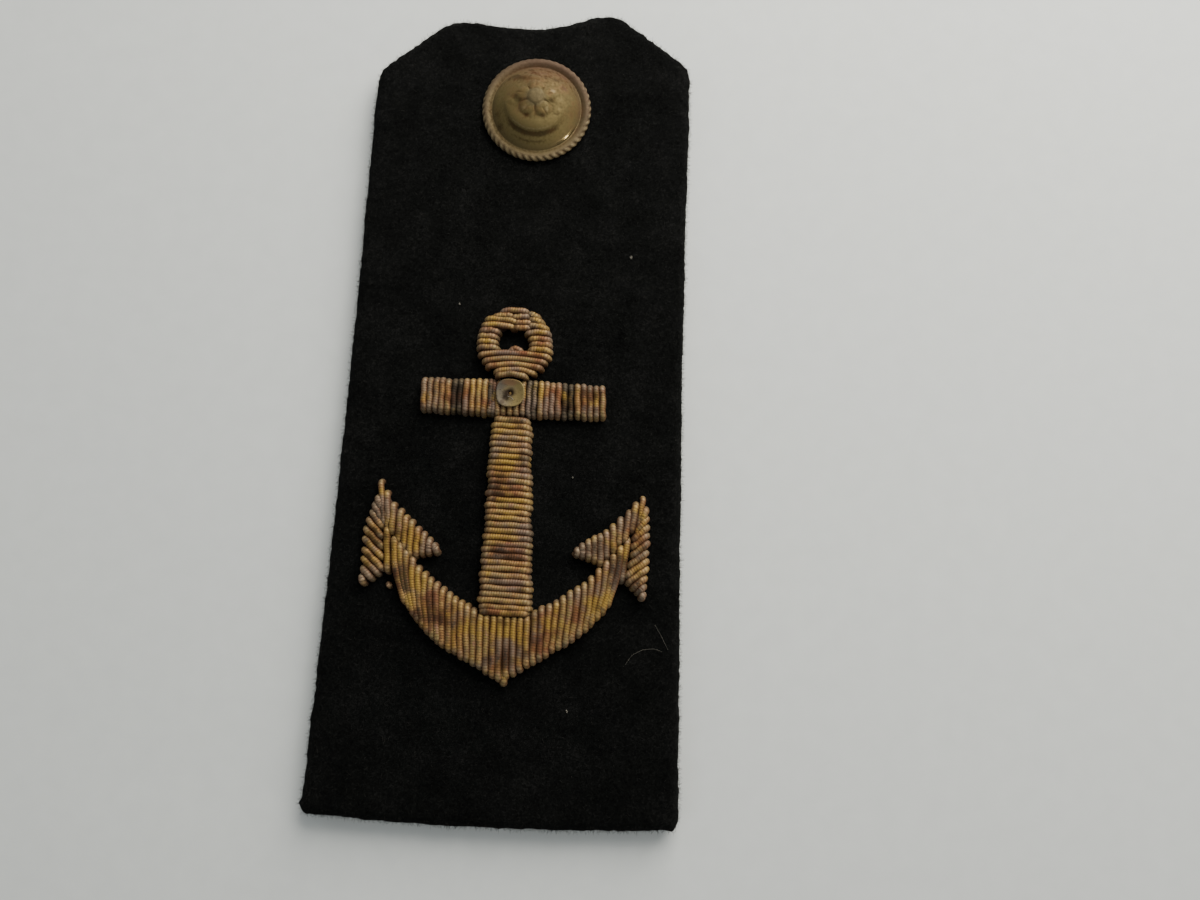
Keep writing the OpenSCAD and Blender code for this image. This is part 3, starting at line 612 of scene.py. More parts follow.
# Stains: x, y, reach along x and y in mm, then how much is red, yellow, grey and dark
stains = [
    (-0.2, 7.5, 5.0, 4.0, 0.0, -0.3, 0.0, -0.6),
    (5.0, -0.6, 1.8, 3.0, 0.1, -0.2, 0.1, -0.8),
    (-10.4, -0.3, 2.2, 3.0, 0.2, 0.0, 0.3, 0.3),
    (-1.4, -11.6, 1.0, 1.3, 1.0, 0.0, 0.0, 0.5),
    (-1.2, -14.2, 1.3, 0.9, 1.2, 0.0, 0.0, 0.7),
    (0.9, -13.2, 1.9, 0.8, 1.0, 0.0, 0.1, 0.4),
    (1.2, -15.0, 2.2, 0.4, 0.0, 1.0, 0.0, 0.0),
    (-0.6, -5.3, 2.4, 0.9, 0.0, 0.7, 0.0, 0.0),
    (0.0, -9.3, 2.0, 0.5, 0.0, 0.8, 0.0, 0.0),
    (2.0, -9.6, 0.4, 1.6, 0.9, 0.0, 0.0, 0.4),
    (2.6, -18.9, 0.8, 0.9, 0.3, 0.0, 0.9, 0.4),
    (-0.6, -21.8, 2.2, 0.5, 0.9, 0.0, 0.5, 0.5),
    (0.9, -22.6, 1.3, 0.4, 0.8, 0.0, 0.4, 0.4),
    (2.3, -26.5, 1.2, 0.8, 0.8, 0.0, 0.6, 0.4),
    (0.3, -25.8, 2.6, 0.7, 0.4, 0.0, 0.5, 0.1),
    (-1.8, -29.4, 1.4, 0.6, 0.9, 0.0, 0.3, 1.0),
    (0.6, -31.3, 3.6, 1.6, 0.0, 0.9, 0.0, 0.0),
    (1.0, -35.2, 1.9, 1.7, 0.6, 0.0, 0.7, 0.6),
    (3.2, -34.8, 0.5, 0.8, 0.0, 0.0, 0.2, 1.0),
    (-1.3, -35.9, 0.6, 0.5, 0.9, 0.3, 0.0, 0.4),
    (2.3, -36.8, 0.8, 0.5, 0.8, 0.0, 0.5, 0.0),
    (-12.7, -25.9, 0.7, 1.4, 0.0, 0.0, 0.2, 1.3),
    (-8.0, -31.0, 1.3, 0.9, 0.2, 0.1, 0.0, 1.0),
    (-5.8, -31.6, 1.0, 1.8, 0.6, 0.2, 0.1, 0.3),
    (-9.7, -29.3, 1.2, 1.9, 1.1, 0.0, 0.0, 0.4),
    (-11.0, -29.6, 0.5, 1.2, 0.8, 0.0, 0.3, 0.3),
    (-14.2, -24.7, 1.0, 0.6, 0.8, 0.0, 0.0, 0.7),
    (-14.4, -22.2, 1.5, 1.3, 0.0, 1.3, 0.0, 0.0),
    (-11.4, -25.9, 0.9, 1.3, 0.0, 1.0, 0.0, 0.0),
    (-16.6, -17.0, 1.2, 1.9, 0.4, 0.0, 1.0, 0.4),
    (-17.4, -21.6, 1.6, 2.3, 0.0, 0.7, 0.2, 0.3),
    (-18.4, -25.4, 0.9, 1.2, 0.5, 0.0, 0.8, 0.2),
    (-12.8, -19.8, 1.6, 1.6, 0.5, 0.3, 0.0, 0.1),
    (-9.9, -21.6, 1.2, 0.9, 0.5, 0.0, 0.8, 0.1),
    (5.0, -32.8, 0.8, 1.7, 1.0, 0.0, 0.2, 0.6),
    (7.2, -29.0, 0.8, 1.2, 0.4, 0.6, 0.0, 0.0),
    (10.1, -28.6, 0.7, 1.7, 0.8, 0.0, 0.2, 0.1),
    (12.9, -28.4, 1.9, 1.7, 0.0, 1.0, 0.0, 0.1),
    (15.2, -22.9, 0.9, 1.3, 0.1, 0.0, 0.5, 0.9),
    (15.8, -20.4, 0.8, 0.9, 0.0, 0.9, 0.1, 0.0),
    (10.9, -20.8, 1.6, 1.0, 0.0, 0.1, 0.9, 0.5),
    (13.2, -21.6, 0.6, 1.2, 0.7, 0.0, 0.5, 0.1),
    (17.6, -20.6, 1.2, 3.0, 0.5, 0.1, 0.1, 0.1),
    (18.8, -21.0, 0.4, 1.0, 0.7, 0.0, 0.5, 0.0),
    (16.8, -17.0, 1.3, 1.2, 0.4, 0.0, 0.5, 0.3),
    (18.5, -25.9, 0.9, 0.9, 0.7, 0.0, 0.6, 0.5),
    (15.2, -25.3, 0.5, 1.1, 0.1, 0.0, 1.0, 0.1),
    (-11.5, -0.9, 1.0, 1.6, 0.7, 0.6, 0.0, 0.0),
    (-5.0, 0.2, 0.9, 1.6, 0.0, 0.9, 0.0, 0.0),
    (-6.5, -1.8, 0.4, 1.4, 0.6, 0.0, 0.6, 0.0),
    (-3.6, -2.0, 0.7, 1.2, 0.5, 0.0, 0.4, 0.6),
    (3.6, -0.6, 0.4, 2.4, 0.0, 1.1, 0.1, 0.0),
    (5.4, -1.6, 1.3, 1.7, 0.6, 0.0, 0.6, 0.1),
    (10.0, 0.4, 1.1, 1.2, 0.8, 0.0, 0.5, 0.4),
    (10.6, -2.0, 1.2, 0.9, 0.4, 0.1, 0.6, 0.3),
    (11.3, -0.3, 0.4, 0.9, 0.2, 1.1, 0.0, 0.0),
    (-0.6, 5.4, 1.6, 0.5, 1.1, 0.0, 0.4, 0.1),
    (2.5, -0.8, 0.6, 2.8, 0.2, 0.0, 0.9, 0.0),
    (-7.7, -0.8, 0.9, 3.4, 0.0, 0.0, 0.0, 1.1),
    (-2.9, -2.4, 0.6, 1.0, 0.3, 0.0, 0.7, 0.0),
    (7.4, -0.8, 0.8, 3.4, 0.0, 0.2, 0.0, 1.0),
    (-4.3, 8.2, 1.1, 0.6, 0.9, 0.0, 0.1, 0.0),
    (-3.9, 6.7, 1.3, 1.0, 0.0, 0.8, 0.1, 0.2),
    (3.1, 9.6, 1.3, 1.2, 0.5, 0.7, 0.0, 0.3),
    (0.9, 10.9, 0.9, 0.4, 0.0, 0.0, 0.6, 0.9),
    (3.4, 6.3, 0.7, 1.8, 0.8, 0.2, 0.0, 0.3),
    (-2.6, 11.1, 1.1, 0.8, 0.4, 0.0, 0.5, 0.1),
]


def cuts(outline, direction, place):
    """Where a line along a direction, at a place across it, crosses an outline."""
    turn = math.radians(direction)
    found = []
    for p, q in zip(outline, outline[1:] + outline[:1]):
        from_p = p[0] * math.sin(turn) - p[1] * math.cos(turn) - place
        from_q = q[0] * math.sin(turn) - q[1] * math.cos(turn) - place
        if (from_p < 0) != (from_q < 0):
            share = from_p / (from_p - from_q)
            x, y = p[0] + share * (q[0] - p[0]), p[1] + share * (q[1] - p[1])
            found.append(x * math.cos(turn) + y * math.sin(turn))
    return sorted(found)


def strand_rows(outline, direction, first, last, spacing, foot_lean=lambda place: 0):
    """Strands that fill an outline between two places across it: place, start, end and
    how far the start lies aside."""
    shortest = 1.15 * spacing
    count = max(1, round((last - first) / spacing))
    rows = []
    for k in range(count):
        place = first + (k + 0.5) * (last - first) / count
        found = cuts(outline, direction, place)
        if len(found) < 2 or found[-1] - found[0] < shortest:
            continue
        lean = foot_lean(place)
        foot = cuts(outline, direction, place + lean)
        start = foot[0] if len(foot) > 1 else found[0]
        rows.append((place, start, found[-1], lean))
    return rows


def strand_path(direction, place, start, end, top, foot_lean=0.0, head_lean=0.0, bow=0.0,
                shoulder=0.65, foot=cloth_z - 0.35):
    """Points in mm along a strand's middle: up over its shoulder, across, and down again."""
    inset, curl = 0.24, 0.62
    turn = math.radians(direction)
    start, end = start + inset, end - inset
    length = end - start
    shoulder = min(shoulder, 0.48 * length)
    shares = []
    for k in range(9):
        a = math.radians(90 * k / 8)
        shares.append((shoulder * (1 - math.cos(a) ** curl), math.sin(a) ** curl))
    middle = [(shoulder + (length - 2 * shoulder) * k / 12, 1.0) for k in range(1, 12)]
    sections = shares + middle + [(length - s, h) for s, h in reversed(shares)]
    path = []
    for s, h in sections:
        t = s / length
        aside = place + foot_lean * (1 - t) ** 2 + head_lean * t ** 3 + bow * math.sin(math.pi * t)
        swell = 0.06 * math.sin(math.pi * t)
        path.append((aside * math.sin(turn) + (start + s) * math.cos(turn),
                     -aside * math.cos(turn) + (start + s) * math.sin(turn),
                     foot + (top + swell - foot) * h, min(s, length - s)))
    return path


# Felt padding, dyed yellow-brown, its colour darkened as painted shade: it shows only as a dark
# line between strands.
felt = mottled("felt padding", 0.3, 4.0, [(0.35, "#2c1a0c"), (0.65, "#4a3018")], {"Roughness": 1.0},
               bump=(0.5, 0.05))


def bullion(name, colours, brown, dark, worn):
    """Gilt wire, drawn fine and coiled: half-dull metal whose gilding has gone red,
    olive or grey in patches, with grime and painted shade between turns, painted shade between
    strands and at their feet, and worn ends painted paler as a highlight."""
    material, tree = new_material(name)
    place = node(tree, "ShaderNodeTexCoord").outputs["Object"]
    amount = {key: node(tree, "ShaderNodeAttribute", attribute_name=key).outputs["Fac"]
              for key in ("red", "yellow", "grey", "dark", "tone", "end", "coil", "side")}
    patch = node(tree, "ShaderNodeTexNoise", {
        "Vector": place, "Scale": 1 / (1.3 * mm), "Detail": 4.0, "Roughness": 0.7})
    fleck = node(tree, "ShaderNodeTexNoise", {
        "Vector": place, "Scale": 1 / (0.3 * mm), "Detail": 3.0, "Roughness": 0.7})
    mixed = node(tree, "ShaderNodeMix", {0: 0.3, 2: patch.outputs[0], 3: amount["tone"]})
    base = stops(node(tree, "ShaderNodeValToRGB", {0: mixed}), colours).outputs[0]
    # Films: where they are strongest is stated by the stains, and the rest drifts. Each has
    # its colour, and the sums at which it begins and is full.
    films = [("red", "#6a3c26", 1.7, 2.15), ("yellow", "#a18338", 1.65, 2.1),
             ("grey", "#77685b", 1.75, 2.2), ("dark", "#2a2014", 1.85, 2.35)]
    for seed, (key, tint, least, most) in enumerate(films):
        drift = node(tree, "ShaderNodeTexNoise", {
            "Vector": place, "W": 3.0 + 5 * seed, "Scale": 1 / (2.4 * mm), "Detail": 2.0},
            noise_dimensions="4D")
        strewn = node(tree, "ShaderNodeMath", {
            0: fleck.outputs[0], 1: 0.8, 2: amount[key]}, operation="MULTIPLY_ADD")
        strewn = node(tree, "ShaderNodeMath", {0: drift, 1: 2.6, 2: strewn}, operation="MULTIPLY_ADD")
        share = node(tree, "ShaderNodeMapRange", {
            "Value": strewn, "From Min": least, "From Max": most, "To Max": 0.8})
        base = node(tree, "ShaderNodeMix", {0: share, 6: base, 7: rgb(tint)}, data_type="RGBA").outputs[2]
    # Flecks of brown where the coil's turns have opened; paler metal where the ends are rubbed, also
    # painted as a highlight; brown tarnish with painted shade down the flanks, darker painted shade at
    # the sides between strands, painted shade at the foot, and dirt with painted shade between turns
    flecks = node(tree, "ShaderNodeMapRange", {
        "Value": fleck.outputs[0], "From Min": 0.5, "From Max": 0.34, "To Max": 0.6})
    # Paler ends: rubbed gilding and a painted highlight
    rubbed_and_lit_ends = node(tree, "ShaderNodeMapRange", {
        "Value": amount["end"], "From Min": 0.9, "From Max": 0.2, "To Max": worn})
    # Brown down the flanks: tarnish and painted shade
    brown_tarnish_and_shade = node(tree, "ShaderNodeMapRange", {
        "Value": amount["side"], "From Min": 0.35, "From Max": 0.8, "To Max": 0.65})
    # Dirt and painted shade between the coil's turns
    turns_dirt_and_shade = node(tree, "ShaderNodeMapRange", {
        "Value": amount["coil"], "From Min": 0.7, "From Max": 0.1, "To Max": 0.5})
    # Painted shade at the sides, between neighbouring strands
    painted_side_shade = node(tree, "ShaderNodeMapRange", {
        "Value": amount["side"], "From Min": 0.88, "From Max": 1.0, "To Max": 0.45})
    # Painted shade where the strand dives to the cloth
    painted_foot_shade = node(tree, "ShaderNodeMapRange", {
        "Value": node(tree, "ShaderNodeSeparateXYZ", {0: place}).outputs["Z"],
        "From Min": (cloth_z + 0.7) * mm, "From Max": cloth_z * mm, "To Max": 0.75})
    # All three darkenings together: dirt and painted shade
    dirt_and_shade = node(tree, "ShaderNodeMath", {0: turns_dirt_and_shade, 1: painted_side_shade}, operation="MAXIMUM")
    dirt_and_shade = node(tree, "ShaderNodeMath", {0: dirt_and_shade, 1: painted_foot_shade}, operation="MAXIMUM")
    for share, tint in ((flecks, brown), (rubbed_and_lit_ends, "#b5a88c"), (brown_tarnish_and_shade, brown), (dirt_and_shade, dark)):
        base = node(tree, "ShaderNodeMix", {0: share, 6: base, 7: rgb(tint)}, data_type="RGBA").outputs[2]
    gloss = node(tree, "ShaderNodeMapRange", {
        "Value": fleck.outputs[0], "From Min": 0.3, "From Max": 0.7, "To Min": 0.54, "To Max": 0.74})
    rough = node(tree, "ShaderNodeMath", {0: dirt_and_shade, 1: 0.3, 2: gloss}, operation="MULTIPLY_ADD")
    metal = node(tree, "ShaderNodeBsdfPrincipled", {
        "Base Color": base, "Metallic": 0.72, "Roughness": rough})
    node(tree, "ShaderNodeOutputMaterial", {"Surface": metal})
    return material


gold_wire = bullion("gilt bullion wire", [
    (0.3, "#6f4d38"), (0.4, "#8c693f"), (0.48, "#a18250"), (0.56, "#827346"), (0.64, "#906f52"),
    (0.74, "#74645c")], "#64412a", "#3a2415", 0.2)
black_wire = bullion("blackened bullion wire", [
    (0.3, "#281f17"), (0.45, "#403628"), (0.55, "#554a3c"), (0.7, "#332e22")],
    "#241b10", "#0c0906", 0.15)

# Each strand is a coil. The real wire is about 0.12 mm thick, too fine to show, so its
# turns are drawn further apart.
coil_tree, coil_in = new_geometry_tree("coiled bullion", [
    ("Wire Pitch", "Float"), ("Wire Depth", "Float"), ("Sides", "Int"), ("Wire", "Material"),
    ("Padding", "Material")])
is_padding = node(coil_tree, "GeometryNodeInputNamedAttribute", {
    "Name": "padding"}, data_type="BOOLEAN")
parted = node(coil_tree, "GeometryNodeSeparateGeometry", {
    0: coil_in.outputs["Geometry"], 1: is_padding}, domain="POINT")
lines = node(coil_tree, "GeometryNodeMeshToCurve", {0: parted.outputs["Inverted"]})
step = node(coil_tree, "ShaderNodeMath", {
    0: coil_in.outputs["Wire Pitch"], 1: 4.0}, operation="DIVIDE")
even = node(coil_tree, "GeometryNodeResampleCurve", {0: lines, "Length": step}, mode="LENGTH")
run_kept = node(coil_tree, "GeometryNodeStoreNamedAttribute", {
    0: even, "Name": "run",
    "Value": node(coil_tree, "GeometryNodeSplineParameter").outputs["Length"]})
profile = node(coil_tree, "GeometryNodeCurvePrimitiveCircle", {
    "Resolution": coil_in.outputs["Sides"], "Radius": 1.0})
turn_kept = node(coil_tree, "GeometryNodeStoreNamedAttribute", {
    0: profile, "Name": "turn",
    "Value": node(coil_tree, "GeometryNodeSplineParameter").outputs["Factor"]})
tube = node(coil_tree, "GeometryNodeCurveToMesh", {
    "Curve": run_kept, "Profile Curve": turn_kept, "Fill Caps": True,
    "Scale": node(coil_tree, "GeometryNodeInputNamedAttribute", {"Name": "girth"})})
outward = node(coil_tree, "GeometryNodeInputNormal")
sideways = node(coil_tree, "ShaderNodeVectorMath", {
    0: outward, 1: node(coil_tree, "GeometryNodeInputNamedAttribute", {"Name": "across"},
                        data_type="FLOAT_VECTOR")}, operation="DOT_PRODUCT").outputs["Value"]
side_kept = node(coil_tree, "GeometryNodeStoreNamedAttribute", {
    0: tube, "Name": "side", "Value": node(coil_tree, "ShaderNodeMath", {0: sideways}, operation="ABSOLUTE")})
wound = node(coil_tree, "ShaderNodeMath", {
    0: node(coil_tree, "GeometryNodeInputNamedAttribute", {"Name": "run"}),
    1: coil_in.outputs["Wire Pitch"]}, operation="DIVIDE")
wound = node(coil_tree, "ShaderNodeMath", {
    0: wound, 1: node(coil_tree, "GeometryNodeInputNamedAttribute", {"Name": "turn"})}, operation="ADD")
wave = node(coil_tree, "ShaderNodeMath", {
    0: node(coil_tree, "ShaderNodeMath", {0: wound, 1: math.pi}, operation="MULTIPLY")}, operation="SINE")
wave = node(coil_tree, "ShaderNodeMath", {0: wave}, operation="ABSOLUTE")
coil_kept = node(coil_tree, "GeometryNodeStoreNamedAttribute", {
    0: side_kept, "Name": "coil", "Value": wave})
sink = node(coil_tree, "ShaderNodeMath", {0: wave, 1: 1.0}, operation="SUBTRACT")
sink = node(coil_tree, "ShaderNodeMath", {
    0: sink, 1: coil_in.outputs["Wire Depth"]}, operation="MULTIPLY")
coiled = node(coil_tree, "GeometryNodeSetPosition", {
    "Geometry": coil_kept,
    "Offset": node(coil_tree, "ShaderNodeVectorMath", {0: outward, "Scale": sink}, operation="SCALE")})
joined = node(coil_tree, "GeometryNodeJoinGeometry", {0: parted.outputs["Selection"]})
coil_tree.links.new(coiled.outputs[0], joined.inputs[0])
real = node(coil_tree, "GeometryNodeRealizeInstances", {0: joined})
gilded = node(coil_tree, "GeometryNodeSetMaterial", {
    0: real, "Material": coil_in.outputs["Wire"]})
dressed = node(coil_tree, "GeometryNodeSetMaterial", {
    0: gilded, "Selection": is_padding, "Material": coil_in.outputs["Padding"]})
node(coil_tree, "NodeGroupOutput", {0: dressed})


def turn_outwards(piece):
    """Makes the faces of a closed mesh point outwards."""
    turned = bmesh.new()
    turned.from_mesh(piece.data)
    bmesh.ops.recalc_face_normals(turned, faces=turned.faces)
    turned.to_mesh(piece.data)
    turned.free()


def lay_strands(name, cad_node, wire, strands, spacing, padded=(), thin=None):
    """One piece of strands laid over padding. A strand is a path; padding is a group of
    neighbouring paths that its block lies under. Thin strands are listed by number."""
    wander, sunk = 0.035, 0.4
    chance = random.Random(name)
    points, edges, faces, acrosses = [], [], [], []
    facts = {key: [] for key in ("girth", "tone", "end", "red", "yellow", "grey", "dark")}
    for number, path in enumerate(strands):
        girth = girth_share * spacing * (thin or {}).get(number, 1) * chance.uniform(0.95, 1.04) * mm
        tone = chance.uniform(0.25, 0.8)
        patchy = chance.uniform(0.6, 1.35)
        aside, lift = chance.uniform(-0.03, 0.03), chance.uniform(-0.05, 0.04)
        phase, beat = chance.uniform(0, 6.28), chance.uniform(0.45, 0.8)
        along = np.array(path[-1][:2]) - np.array(path[0][:2])
        along = along / np.linalg.norm(along)
        base = len(points)
        for k, (x, y, z, end) in enumerate(path):
            acrosses.append((-along[1], along[0], 0.0))
            ripple = aside + wander * math.sin(phase + beat * k)
            points.append(((x - ripple * along[1]) * mm, (y + ripple * along[0]) * mm,
                           (z + lift) * mm - girth))
            if k:
                edges.append((base + k - 1, base + k))
            sums = [0, 0, 0, 0]
            for sx, sy, reach_x, reach_y, *amounts in stains:
                far = ((x - sx) / reach_x) ** 2 + ((y - sy) / reach_y) ** 2
                if far < 6:
                    sums = [s + a * math.exp(-far) for s, a in zip(sums, amounts)]
            for key, value in zip(("red", "yellow", "grey", "dark"), sums):
                facts[key].append(value * patchy)
            facts["girth"].append(girth * (1 + 0.03 * math.sin(2 * phase + 1.3 * beat * k)))
            facts["tone"].append(tone)
            facts["end"].append(end)
    laid = len(points)
    for group in padded:
        base, count, size = len(points), len(group), len(group[0])
        low = count * size
        for depth in (None, cloth_z - sunk):
            points += [(x * mm, y * mm, (z if depth is None else depth) * mm)
                       for path in group for x, y, z, end in path]
        for i in range(count - 1):
            for j in range(size - 1):
                a, b = base + i * size + j, base + (i + 1) * size + j
                faces += [(a, a + 1, b + 1, b), (a + low, b + low, b + low + 1, a + low + 1)]
        grid = base + np.arange(low).reshape(count, size)
        rim = [*grid[0, :-1], *grid[:-1, -1], *grid[-1, :0:-1], *grid[:0:-1, 0]]
        faces += [(int(a), int(b), int(b) + low, int(a) + low) for a, b in zip(rim, rim[1:] + rim[:1])]
    piece = new_piece(name, mesh_of(name, points, faces, edges))
    for key, values in facts.items():
        attribute = piece.data.attributes.new(key, "FLOAT", "POINT")
        attribute.data.foreach_set("value", np.array(values + [0.0] * (len(points) - laid), float))
    attribute = piece.data.attributes.new("across", "FLOAT_VECTOR", "POINT")
    acrosses += [(0.0, 0.0, 0.0)] * (len(points) - laid)
    attribute.data.foreach_set("vector", np.array(acrosses).ravel())
    attribute = piece.data.attributes.new("padding", "BOOLEAN", "POINT")
    attribute.data.foreach_set("value", np.arange(len(points)) >= laid)
    turn_outwards(piece)
    grow(piece, coil_tree, {
        "Wire Pitch": wire_pitch * mm, "Wire Depth": wire_depth * mm, "Sides": wire_sides,
        "Wire": wire, "Padding": felt})
    piece.data.shade_smooth()
    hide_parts(cad_node)
    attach(piece, "root")


def laid_rows(name, rows, direction, top, tilt=0.0, ragged=0.1, bow=0.0):
    """Paths of a group's strands and of the padding under them. Tilt is in degrees."""
    chance = random.Random(name + " rows")
    strands, under = [], []
    for place, start, end, lean in rows:
        a, b = start + chance.uniform(-ragged, ragged), end + chance.uniform(-ragged, ragged)
        swing = math.tan(math.radians(tilt + chance.uniform(-0.6, 0.6))) * (b - a) / 2
        extra = {"foot_lean": lean - swing, "head_lean": swing, "bow": bow + chance.uniform(-0.05, 0.05)}
        strands.append(strand_path(direction, place, a, b, top, **extra))
        inner = min(0.1, 0.1 * (b - a))
        under.append(strand_path(direction, place, start + inner, end - inner, top - pad_depth, **extra))
    return strands, under


# Rows of the ring: height of the ends, left end, right end, tilt in degrees, arch. On the
# left and right the rows stop at the hole, and near the top they follow the circle.
ring_rows = [
    (11.25, -2.55, 1.5, -2, 0.25), (10.65, -3.5, -0.6, -5, 0.05), (10.6, -1.0, 1.8, -4, 0.05),
    (10.85, 1.2, 3.05, 15, 0.0), (9.95, -4.55, 0.1, 3, 0.15), (9.8, -0.6, 2.1, -2, 0.0),
    (10.1, 1.3, 3.65, 11, 0.05), (9.15, -5.0, -0.35, 2, 0.2), (9.1, -0.6, 2.0, 0, 0.0),
    (9.3, 1.3, 4.15, 6, 0.05), (8.35, -5.25, -2.3, 2, 0.15), (8.35, 1.1, 4.5, -2, 0.15),
    (7.6, -5.37, -2.65, 0, 0.05), (7.6, 1.6, 4.65, 0, 0.05), (6.82, -5.45, -2.7, 0, 0.0),
    (6.82, 1.75, 4.77, 0, 0.0), (6.02, -5.4, -2.4, 0, 0.08), (6.0, 1.65, 4.8, 0, 0.08),
    (5.05, -5.15, 4.7, 0, 0.42), (4.25, -4.6, 4.25, -0.5, 0.42), (3.45, -4.05, 3.75, -0.5, 0.42),
    (2.72, -2.85, 2.85, 0.5, 0.38),
]
# Padding under the rows, by part: height, left end, right end
ring_pads = [
    [(11.3, -2.2, 1.3), (10.6, -3.2, 2.9), (9.9, -4.1, 3.5), (9.2, -4.6, 4.0)],
    [(9.2, -4.7, -0.8), (8.4, -5.05, -2.4), (7.6, -5.2, -2.75), (6.8, -5.25, -2.8), (6.0, -5.2, -2.5),
     (5.2, -4.9, -1.8)],
    [(9.2, 1.6, 3.9), (8.4, 1.4, 4.35), (7.6, 1.8, 4.5), (6.8, 1.9, 4.6), (6.0, 1.8, 4.65), (5.2, 1.5, 4.5)],
    [(5.4, -4.7, 4.5), (4.5, -4.3, 4.2), (3.7, -3.7, 3.7), (2.9, -2.6, 2.8)],
]
strand_top = cloth_z + pad_h
ring_strands = []
for y, left, right, tilt, arch in ring_rows:
    ring_strands += laid_rows("ring %.2f %.2f" % (y, left), [(-y, left, right, 0)], 0, strand_top,
                              tilt=tilt, ragged=0.04, bow=-arch)[0]
ring_padding = [[strand_path(0, -y, left, right, strand_top - pad_depth) for y, left, right in pad]
                for pad in ring_pads]
# A short round end at the foot of the hole, and the strand that arches over the spangle's top
ring_strands.append(strand_path(0, -5.45, -1.2, 1.05, strand_top - 0.02, bow=-0.6, shoulder=0.4))
ring_strands.append(strand_path(0, -2.05, -2.6, 1.8, strand_top + 0.6, bow=-0.3))
lay_strands("ring_strands", "anchor_ring", gold_wire, ring_strands, ring_p, ring_padding)

# Stock
# Groups of upright strands by turns: bright gilt bars and blackened bands, with a block
# of five strands in the middle.

stock_y = -0.75
stock_up, stock_down = 2.55, 2.7
stock_reach = 12.5
stock_taper = 0.35
block_x = -0.1
stock_p = 0.8
side_gap = 0.08
# Node, wire, x of the first and of the last strand, number of strands, tilt in degrees
stock_groups = [
    ("stock_left_tip", "gold", -12.2, -8.95, 5, -0.5),
    ("stock_left_outer_band", "dark", -8.1, -7.3, 2, 0.5),
    ("stock_left_bar", "gold", -6.45, -3.95, 4, 0.0),
    ("stock_left_inner_band", "dark", -3.2, -2.7, 2, 0.0),
    ("stock_centre", "gold", -2.1, 1.25, 5, 0.0),
    ("stock_right_inner_band", "dark", 2.1, 2.85, 2, 0.0),
    ("stock_right_bar", "gold", 3.68, 6.1, 4, 0.0),
    ("stock_right_outer_band", "dark", 6.95, 7.8, 2, -1.5),
    ("stock_right_tip", "gold", 8.75, 12.1, 5, -3.0),
]
for name, wire, first, last, count, tilt in stock_groups:
    rows = []
    for k in range(count):
        x = first + (last - first) * k / (count - 1)
        taper = stock_taper * abs(x - block_x) / stock_reach
        rows.append((x, stock_y - stock_down + taper, stock_y + stock_up - taper, 0))
    top = strand_top - (low_step if wire == "dark" or name == "stock_centre" else 0)
    strands, under = laid_rows(name, rows, 90, top, tilt=tilt)
    lay_strands(name + "_strands", name, gold_wire if wire == "gold" else black_wire,
                strands, stock_p, [under])

# Spangle
# A small round cup stamped from brass sheet, with an eye through which it is sewn down
# over the block. Its colour is greyer and darker towards the left.

spangle_low, spangle_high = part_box("spangle")
spangle_x = (spangle_low.x + spangle_high.x) / 2 / mm - 0.1
spangle_y = (spangle_low.y + spangle_high.y) / 2 / mm - 0.2
spangle_r = (spangle_high.x - spangle_low.x) / 2 / mm
spangle_z = spangle_low.z / mm
# Section of the cup: radius and height of its upper side, then of its underside
spangle_section = [
    (0.24, 0.12), (0.34, 0.18), (0.6, 0.22), (0.95, 0.22), (1.25, 0.25), (1.5, 0.31), (1.75, 0.38),
    (1.9, 0.43), (1.98, 0.42), (2.0, 0.37), (1.96, 0.32), (1.7, 0.22), (1.4, 0.12), (1.1, 0.06), (0.8, 0.03),
    (0.32, 0.02), (0.24, 0.05)]
around = 72
spangle_points, spangle_faces = [], []
for k in range(around):
    a = 2 * math.pi * k / around
    squarish = 1 - 0.035 * math.cos(4 * a) + 0.015 * math.sin(3 * a + 1)
    slot_dent = math.exp(-((a - math.radians(232)) / 0.35) ** 2)
    for r, z in spangle_section:
        scale = 1 + (squarish - 1) * min(1, r / 1.7)
        dent = 0.16 * slot_dent * math.exp(-((r - 0.9) / 0.35) ** 2)
        spangle_points.append((np.array([
            spangle_x + r * scale * math.cos(a) * spangle_r / 2,
            spangle_y + r * scale * math.sin(a) * spangle_r / 2,
            spangle_z + z + 0.05 * math.sin(a + 0.6) * (r / 2) - dent])) * mm)
size = len(spangle_section)
for k in range(around):
    for j in range(size):
        a, b = k * size, ((k + 1) % around) * size
        after = (j + 1) % size
        spangle_faces.append((a + j, b + j, b + after, a + after))
spangle = new_piece("cupped_spangle", mesh_of("cupped_spangle", spangle_points, spangle_faces))
turn_outwards(spangle)
spangle.data.shade_smooth()

# Stamped brass, gilt and rubbed: dull gloss, with grey-green films and brown specks.
stamped, tree = new_material("stamped gilt brass")
place = node(tree, "ShaderNodeTexCoord").outputs["Object"]
film = node(tree, "ShaderNodeTexNoise", {"Vector": place, "Scale": 1 / (1.1 * mm), "Detail": 5.0})
# Greyer and darker towards the left, lighter gold towards the right
sideways = node(tree, "ShaderNodeSeparateXYZ", {0: place})
across = node(tree, "ShaderNodeMapRange", {
    "Value": sideways.outputs["X"], "From Min": (spangle_x - 2) * mm, "From Max": (spangle_x + 2) * mm})
mixed = node(tree, "ShaderNodeMix", {0: 0.5, 2: film.outputs[0], 3: across})
base = stops(node(tree, "ShaderNodeValToRGB", {0: mixed}), [
    (0.2, "#4c4842"), (0.4, "#615742"), (0.58, "#70623d"), (0.75, "#7e6f45")]).outputs[0]
